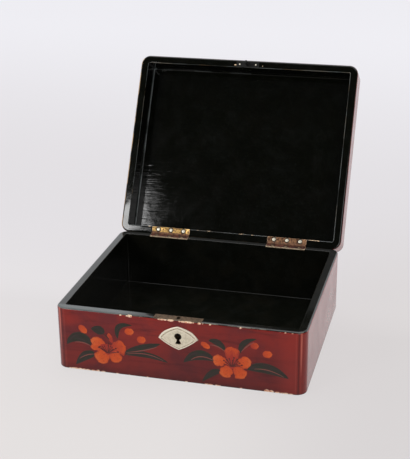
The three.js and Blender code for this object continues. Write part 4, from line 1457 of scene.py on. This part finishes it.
def makeStamenTree():        # fine strokes fanned out over each flower's heart
    tree, given, out = geometryTree("stamens", [
        ("Count", "Int", 9), ("Length", "Float", 0.006), ("Width", "Float", 0.0005),
        ("Height", "Float", 0.0002), ("Tip", "Float", 0.001), ("Fan", "Float", 1.5), ("Seed", "Int", 1),
        ("Material", "Material", None)])
    length, height, tipWidth = (given[name] for name in ("Length", "Height", "Tip"))
    copies = put(tree, "GeometryNodeDuplicateElements",
                 {"Geometry": given["Geometry"], "Amount": given["Count"]}, domain="POINT").outputs
    order = maths(tree, "DIVIDE", copies["Duplicate Index"], minus(tree, given["Count"], 1.0))
    lean = plus(tree, minus(tree, order, 0.5), anyValue(tree, -0.1, 0.1, given["Seed"]))
    turn = joined(tree, Y=times(tree, lean, given["Fan"]))
    size = anyValue(tree, 0.6, 1.0, given["Seed"])
    ball = ballOf(tree, 8, 8, 0.5)
    form = joined(tree, X=given["Width"], Y=height, Z=length)
    middle = joined(tree, Z=times(tree, length, 0.5))
    thread = put(tree, "GeometryNodeTransform", {"Geometry": ball, "Translation": middle, "Scale": form})
    knob = joined(tree, X=tipWidth, Y=height, Z=tipWidth)
    end = joined(tree, Z=length)
    tip = put(tree, "GeometryNodeTransform", {"Geometry": ball, "Translation": end, "Scale": knob})
    stroke = put(tree, "GeometryNodeJoinGeometry", {"Geometry": thread.outputs[0]})
    tree.links.new(tip.outputs[0], stroke.inputs["Geometry"])
    fan = strewn(tree, copies["Geometry"], stroke.outputs[0], Rotation=turn, Scale=size)
    finishTree(tree, out, fan, given["Material"])
    return tree


def makeSpray(hand):
    look = sprayLook[hand]
    lift = sprayLook["lift"]
    bm = bmesh.new()
    layers = {"uv": bm.loops.layers.uv.new("strokes"), "tint": bm.verts.layers.float.new("tint")}
    for i, (spine, left, right) in enumerate(look["leaves"]):
        proud = lift["leaves"] + 0.3 * lift["step"] * i
        bladeInto(bm, layers, 1, spine, leafWidth(left, right), proud, rows=24, seed=i)
    for spine in look["stems"]:
        bladeInto(bm, layers, 1, spine, lineWidth(0.55), lift["stems"])
    for spine in look["ribs"]:
        bladeInto(bm, layers, 2, spine, lineWidth(0.6), lift["ribs"])
    for start, end, half, tint in look["buds"]:
        bladeInto(bm, layers, 0, (start, end), budWidth(half), lift["buds"], tint, wave=0.12, seed=half)
    for i, (start, end, half, tint, notch) in enumerate(look["petals"]):
        proud = lift["petals"] + lift["step"] * i
        bladeInto(bm, layers, 0, (start, end), petalWidth(half), proud, tint, notch, 0.26, 20, i + 0.5)
    x, z, halfWidth, halfHeight = look["heart"]
    spine = ((x, z + halfHeight), (x, z - halfHeight))
    bladeInto(bm, layers, 0, spine, budWidth(halfWidth), lift["heart"], 0.05, wave=0.2, seed=x)
    piece = newPiece(f"{hand}Spray", bm, sprayMaterials)
    soften(piece, 60)
    settle(piece, "base", "red_lacquer")


def makeStamens():
    bm = bmesh.new()
    for hand in ("left", "right"):
        heart = sprayLook[hand]["heart"]
        proud = sprayLook["lift"]["heart"] * 0.9
        bm.verts.new((heart[0], frontFace - proud, heart[1] - 0.7 * heart[3]))
    piece = newPiece("stamens", bm, [sprayMaterials[3]])
    sizes = {name: size * mm for name, size in sprayLook["stamenSizes"].items()}
    grow(piece, makeStamenTree(), {**sprayLook["stamens"], **sizes, "Material": sprayMaterials[3]})
    soften(piece, 60)
    settle(piece, "base", "red_lacquer")


for hand in ("left", "right"):
    makeSpray(hand)
makeStamens()
print("sprays painted")


# Fittings that keep their own form get the worn finishes

nodeFinish = {
    "lockBrass": ("lock_plate", "lock_bolt"),
    "darkIron": ("lid_strike_plate", "lock_case", "drill_pin"),
    "paintedGlintSteel": ("lock_spring",),
    "dullBarrel": ("hinge_pin_left", "hinge_pin_right"),
}


def dressNode(name, material):
    node = frame["nodes"][name]
    if not node.material_slots:
        node.data.materials.append(material)
    for slot in node.material_slots:
        slot.material = material


for finish, names in nodeFinish.items():
    for name in names:
        dressNode(name, materials[finish])
print("fittings dressed")


# Floor, light and camera

floorLook = {
    "reach": 6.0,
    "front": tone(227, 223, 222),
    "middle": tone(222, 219, 222),
    "far": tone(237, 236, 241),
    # painted shadow on the floor just right of the box
    "right": tone(216, 212, 212),
    "roughness": 0.7,
    "seenShare": 0.88,        # how much of the pale cloth's own brightness the camera and reflections take
    "mirrorFront": 0.28,
    "mirrorBack": 1.05,
}


def makeFloor():
    look = floorLook
    reach = look["reach"]
    outline = [(-reach, -reach, 0), (reach, -reach, 0), (reach, reach, 0), (-reach, reach, 0)]
    mesh = bpy.data.meshes.new("floor")
    mesh.from_pydata(outline, [], [(0, 1, 2, 3)])
    shader = {"Roughness": look["roughness"], "Specular IOR Level": 0.1}
    material, tree, principled, place = newMaterial("floorCloth", shader)
    away = partsOf(tree, place)
    colour = blend(tree, spread(tree, away["Y"], -0.25, 0.3), look["front"], look["middle"])
    colour = blend(tree, spread(tree, away["Y"], 0.3, 1.5), colour, look["far"])
    # painted shadow: the floor is darker right of the box and close to it
    near = times(tree, spread(tree, away["X"], 0.0, 0.2), spread(tree, away["Y"], 0.5, 0.0))
    colour = blend(tree, near, colour, look["right"])
    finishMaterial(tree, principled, colour)
    path = put(tree, "ShaderNodeLightPath").outputs
    mirrored = spread(tree, away["Y"], -0.35, 0.1, look["mirrorFront"], look["mirrorBack"])
    strength = maths(tree, "MAXIMUM", path["Is Camera Ray"], mirrored)
    glow = put(tree, "ShaderNodeEmission", {"Color": colour, "Strength": strength}).outputs[0]
    seen = maths(tree, "MAXIMUM", path["Is Camera Ray"], path["Is Glossy Ray"])
    share = times(tree, seen, look["seenShare"])
    mixed = put(tree, "ShaderNodeMixShader", {0: share, 1: principled.outputs[0], 2: glow}).outputs[0]
    tree.links.new(mixed, tree.nodes["Material Output"].inputs["Surface"])
    mesh.materials.append(material)
    intoScene("floor", mesh)


def softbox(name, place, aim, width, height, radiance):
    light = bpy.data.lights.new(name, "AREA")
    light.shape = "RECTANGLE"
    light.size = width
    light.size_y = height
    light.energy = radiance * math.pi * width * height
    lamp = intoScene(name, light)
    lamp.location = place
    lamp.rotation_euler = (Vector(aim) - Vector(place)).to_track_quat("-Z", "Y").to_euler()


lightLook = {        # place, what it is aimed at, width, height and radiance
    "overhead": ((0.1, 0.15, 1.5), (0, 0, 0.06), 1.5, 1.5, 1.3),
    "right": ((0.75, -1.3, 0.75), (0, 0, 0.06), 0.7, 1.0, 2.6),
    "left": ((-1.3, -1.3, 0.45), (0, 0, 0.06), 0.9, 0.7, 0.4),
    "window": ((-1.2, -1.6, 1.12), (-1.2, 0, 1.12), 0.9, 0.6, 12.0),
    "behind": ((1.25, 0.9, 0.45), (0, 0, 0.06), 0.8, 0.8, 1.2),
}
worldLook = {
    "front": tone(50, 50, 52),
    "back": tone(250, 252, 255),
    "seen": tone(222, 221, 226),
    "strength": 1.15,
}


def lightScene():
    for name, settings in lightLook.items():
        softbox(name, *settings)
    world = bpy.data.worlds.new("studio")
    bpy.context.scene.world = world
    world.use_nodes = True
    tree = world.node_tree
    background = tree.nodes["Background"]
    direction = tree.nodes.new("ShaderNodeTexCoord").outputs["Generated"]
    parts = partsOf(tree, direction)
    leftBehind = minus(tree, parts["Y"], times(tree, parts["X"], 0.5))
    colour = blend(tree, spread(tree, leftBehind, -0.35, 0.3), worldLook["front"], worldLook["back"])
    path = put(tree, "ShaderNodeLightPath").outputs
    colour = blend(tree, path["Is Camera Ray"], colour, worldLook["seen"])
    tree.links.new(colour, background.inputs["Color"])
    background.inputs["Strength"].default_value = worldLook["strength"]


cameraLook = {
    "azimuth": 14.733,
    "elevation": 21.771,
    "roll": -0.586,
    "distance": 1.13474,
    "across": -0.00012,
    "up": 0.10568,
    "focal": 87.69,
}


def makeCamera():
    look = cameraLook
    azimuth, elevation, roll = (math.radians(look[name]) for name in ("azimuth", "elevation", "roll"))
    back = Vector((math.sin(azimuth) * math.cos(elevation), -math.cos(azimuth) * math.cos(elevation),
                   math.sin(elevation)))
    level = Vector((math.cos(azimuth), math.sin(azimuth), 0))
    upright = back.cross(level)
    right = math.cos(roll) * level + math.sin(roll) * upright
    up = math.cos(roll) * upright - math.sin(roll) * level
    place = back * look["distance"] + right * look["across"] + up * look["up"]
    camera = intoScene("camera", bpy.data.cameras.new("camera"))
    camera.matrix_world = Matrix.Translation(place) @ Matrix((right, up, back)).transposed().to_4x4()
    camera.data.lens = look["focal"]
    camera.data.clip_start = 0.05
    bpy.context.scene.camera = camera


makeFloor()
lightScene()
makeCamera()
bpy.context.scene.view_settings.view_transform = "Standard"
print("stage set")
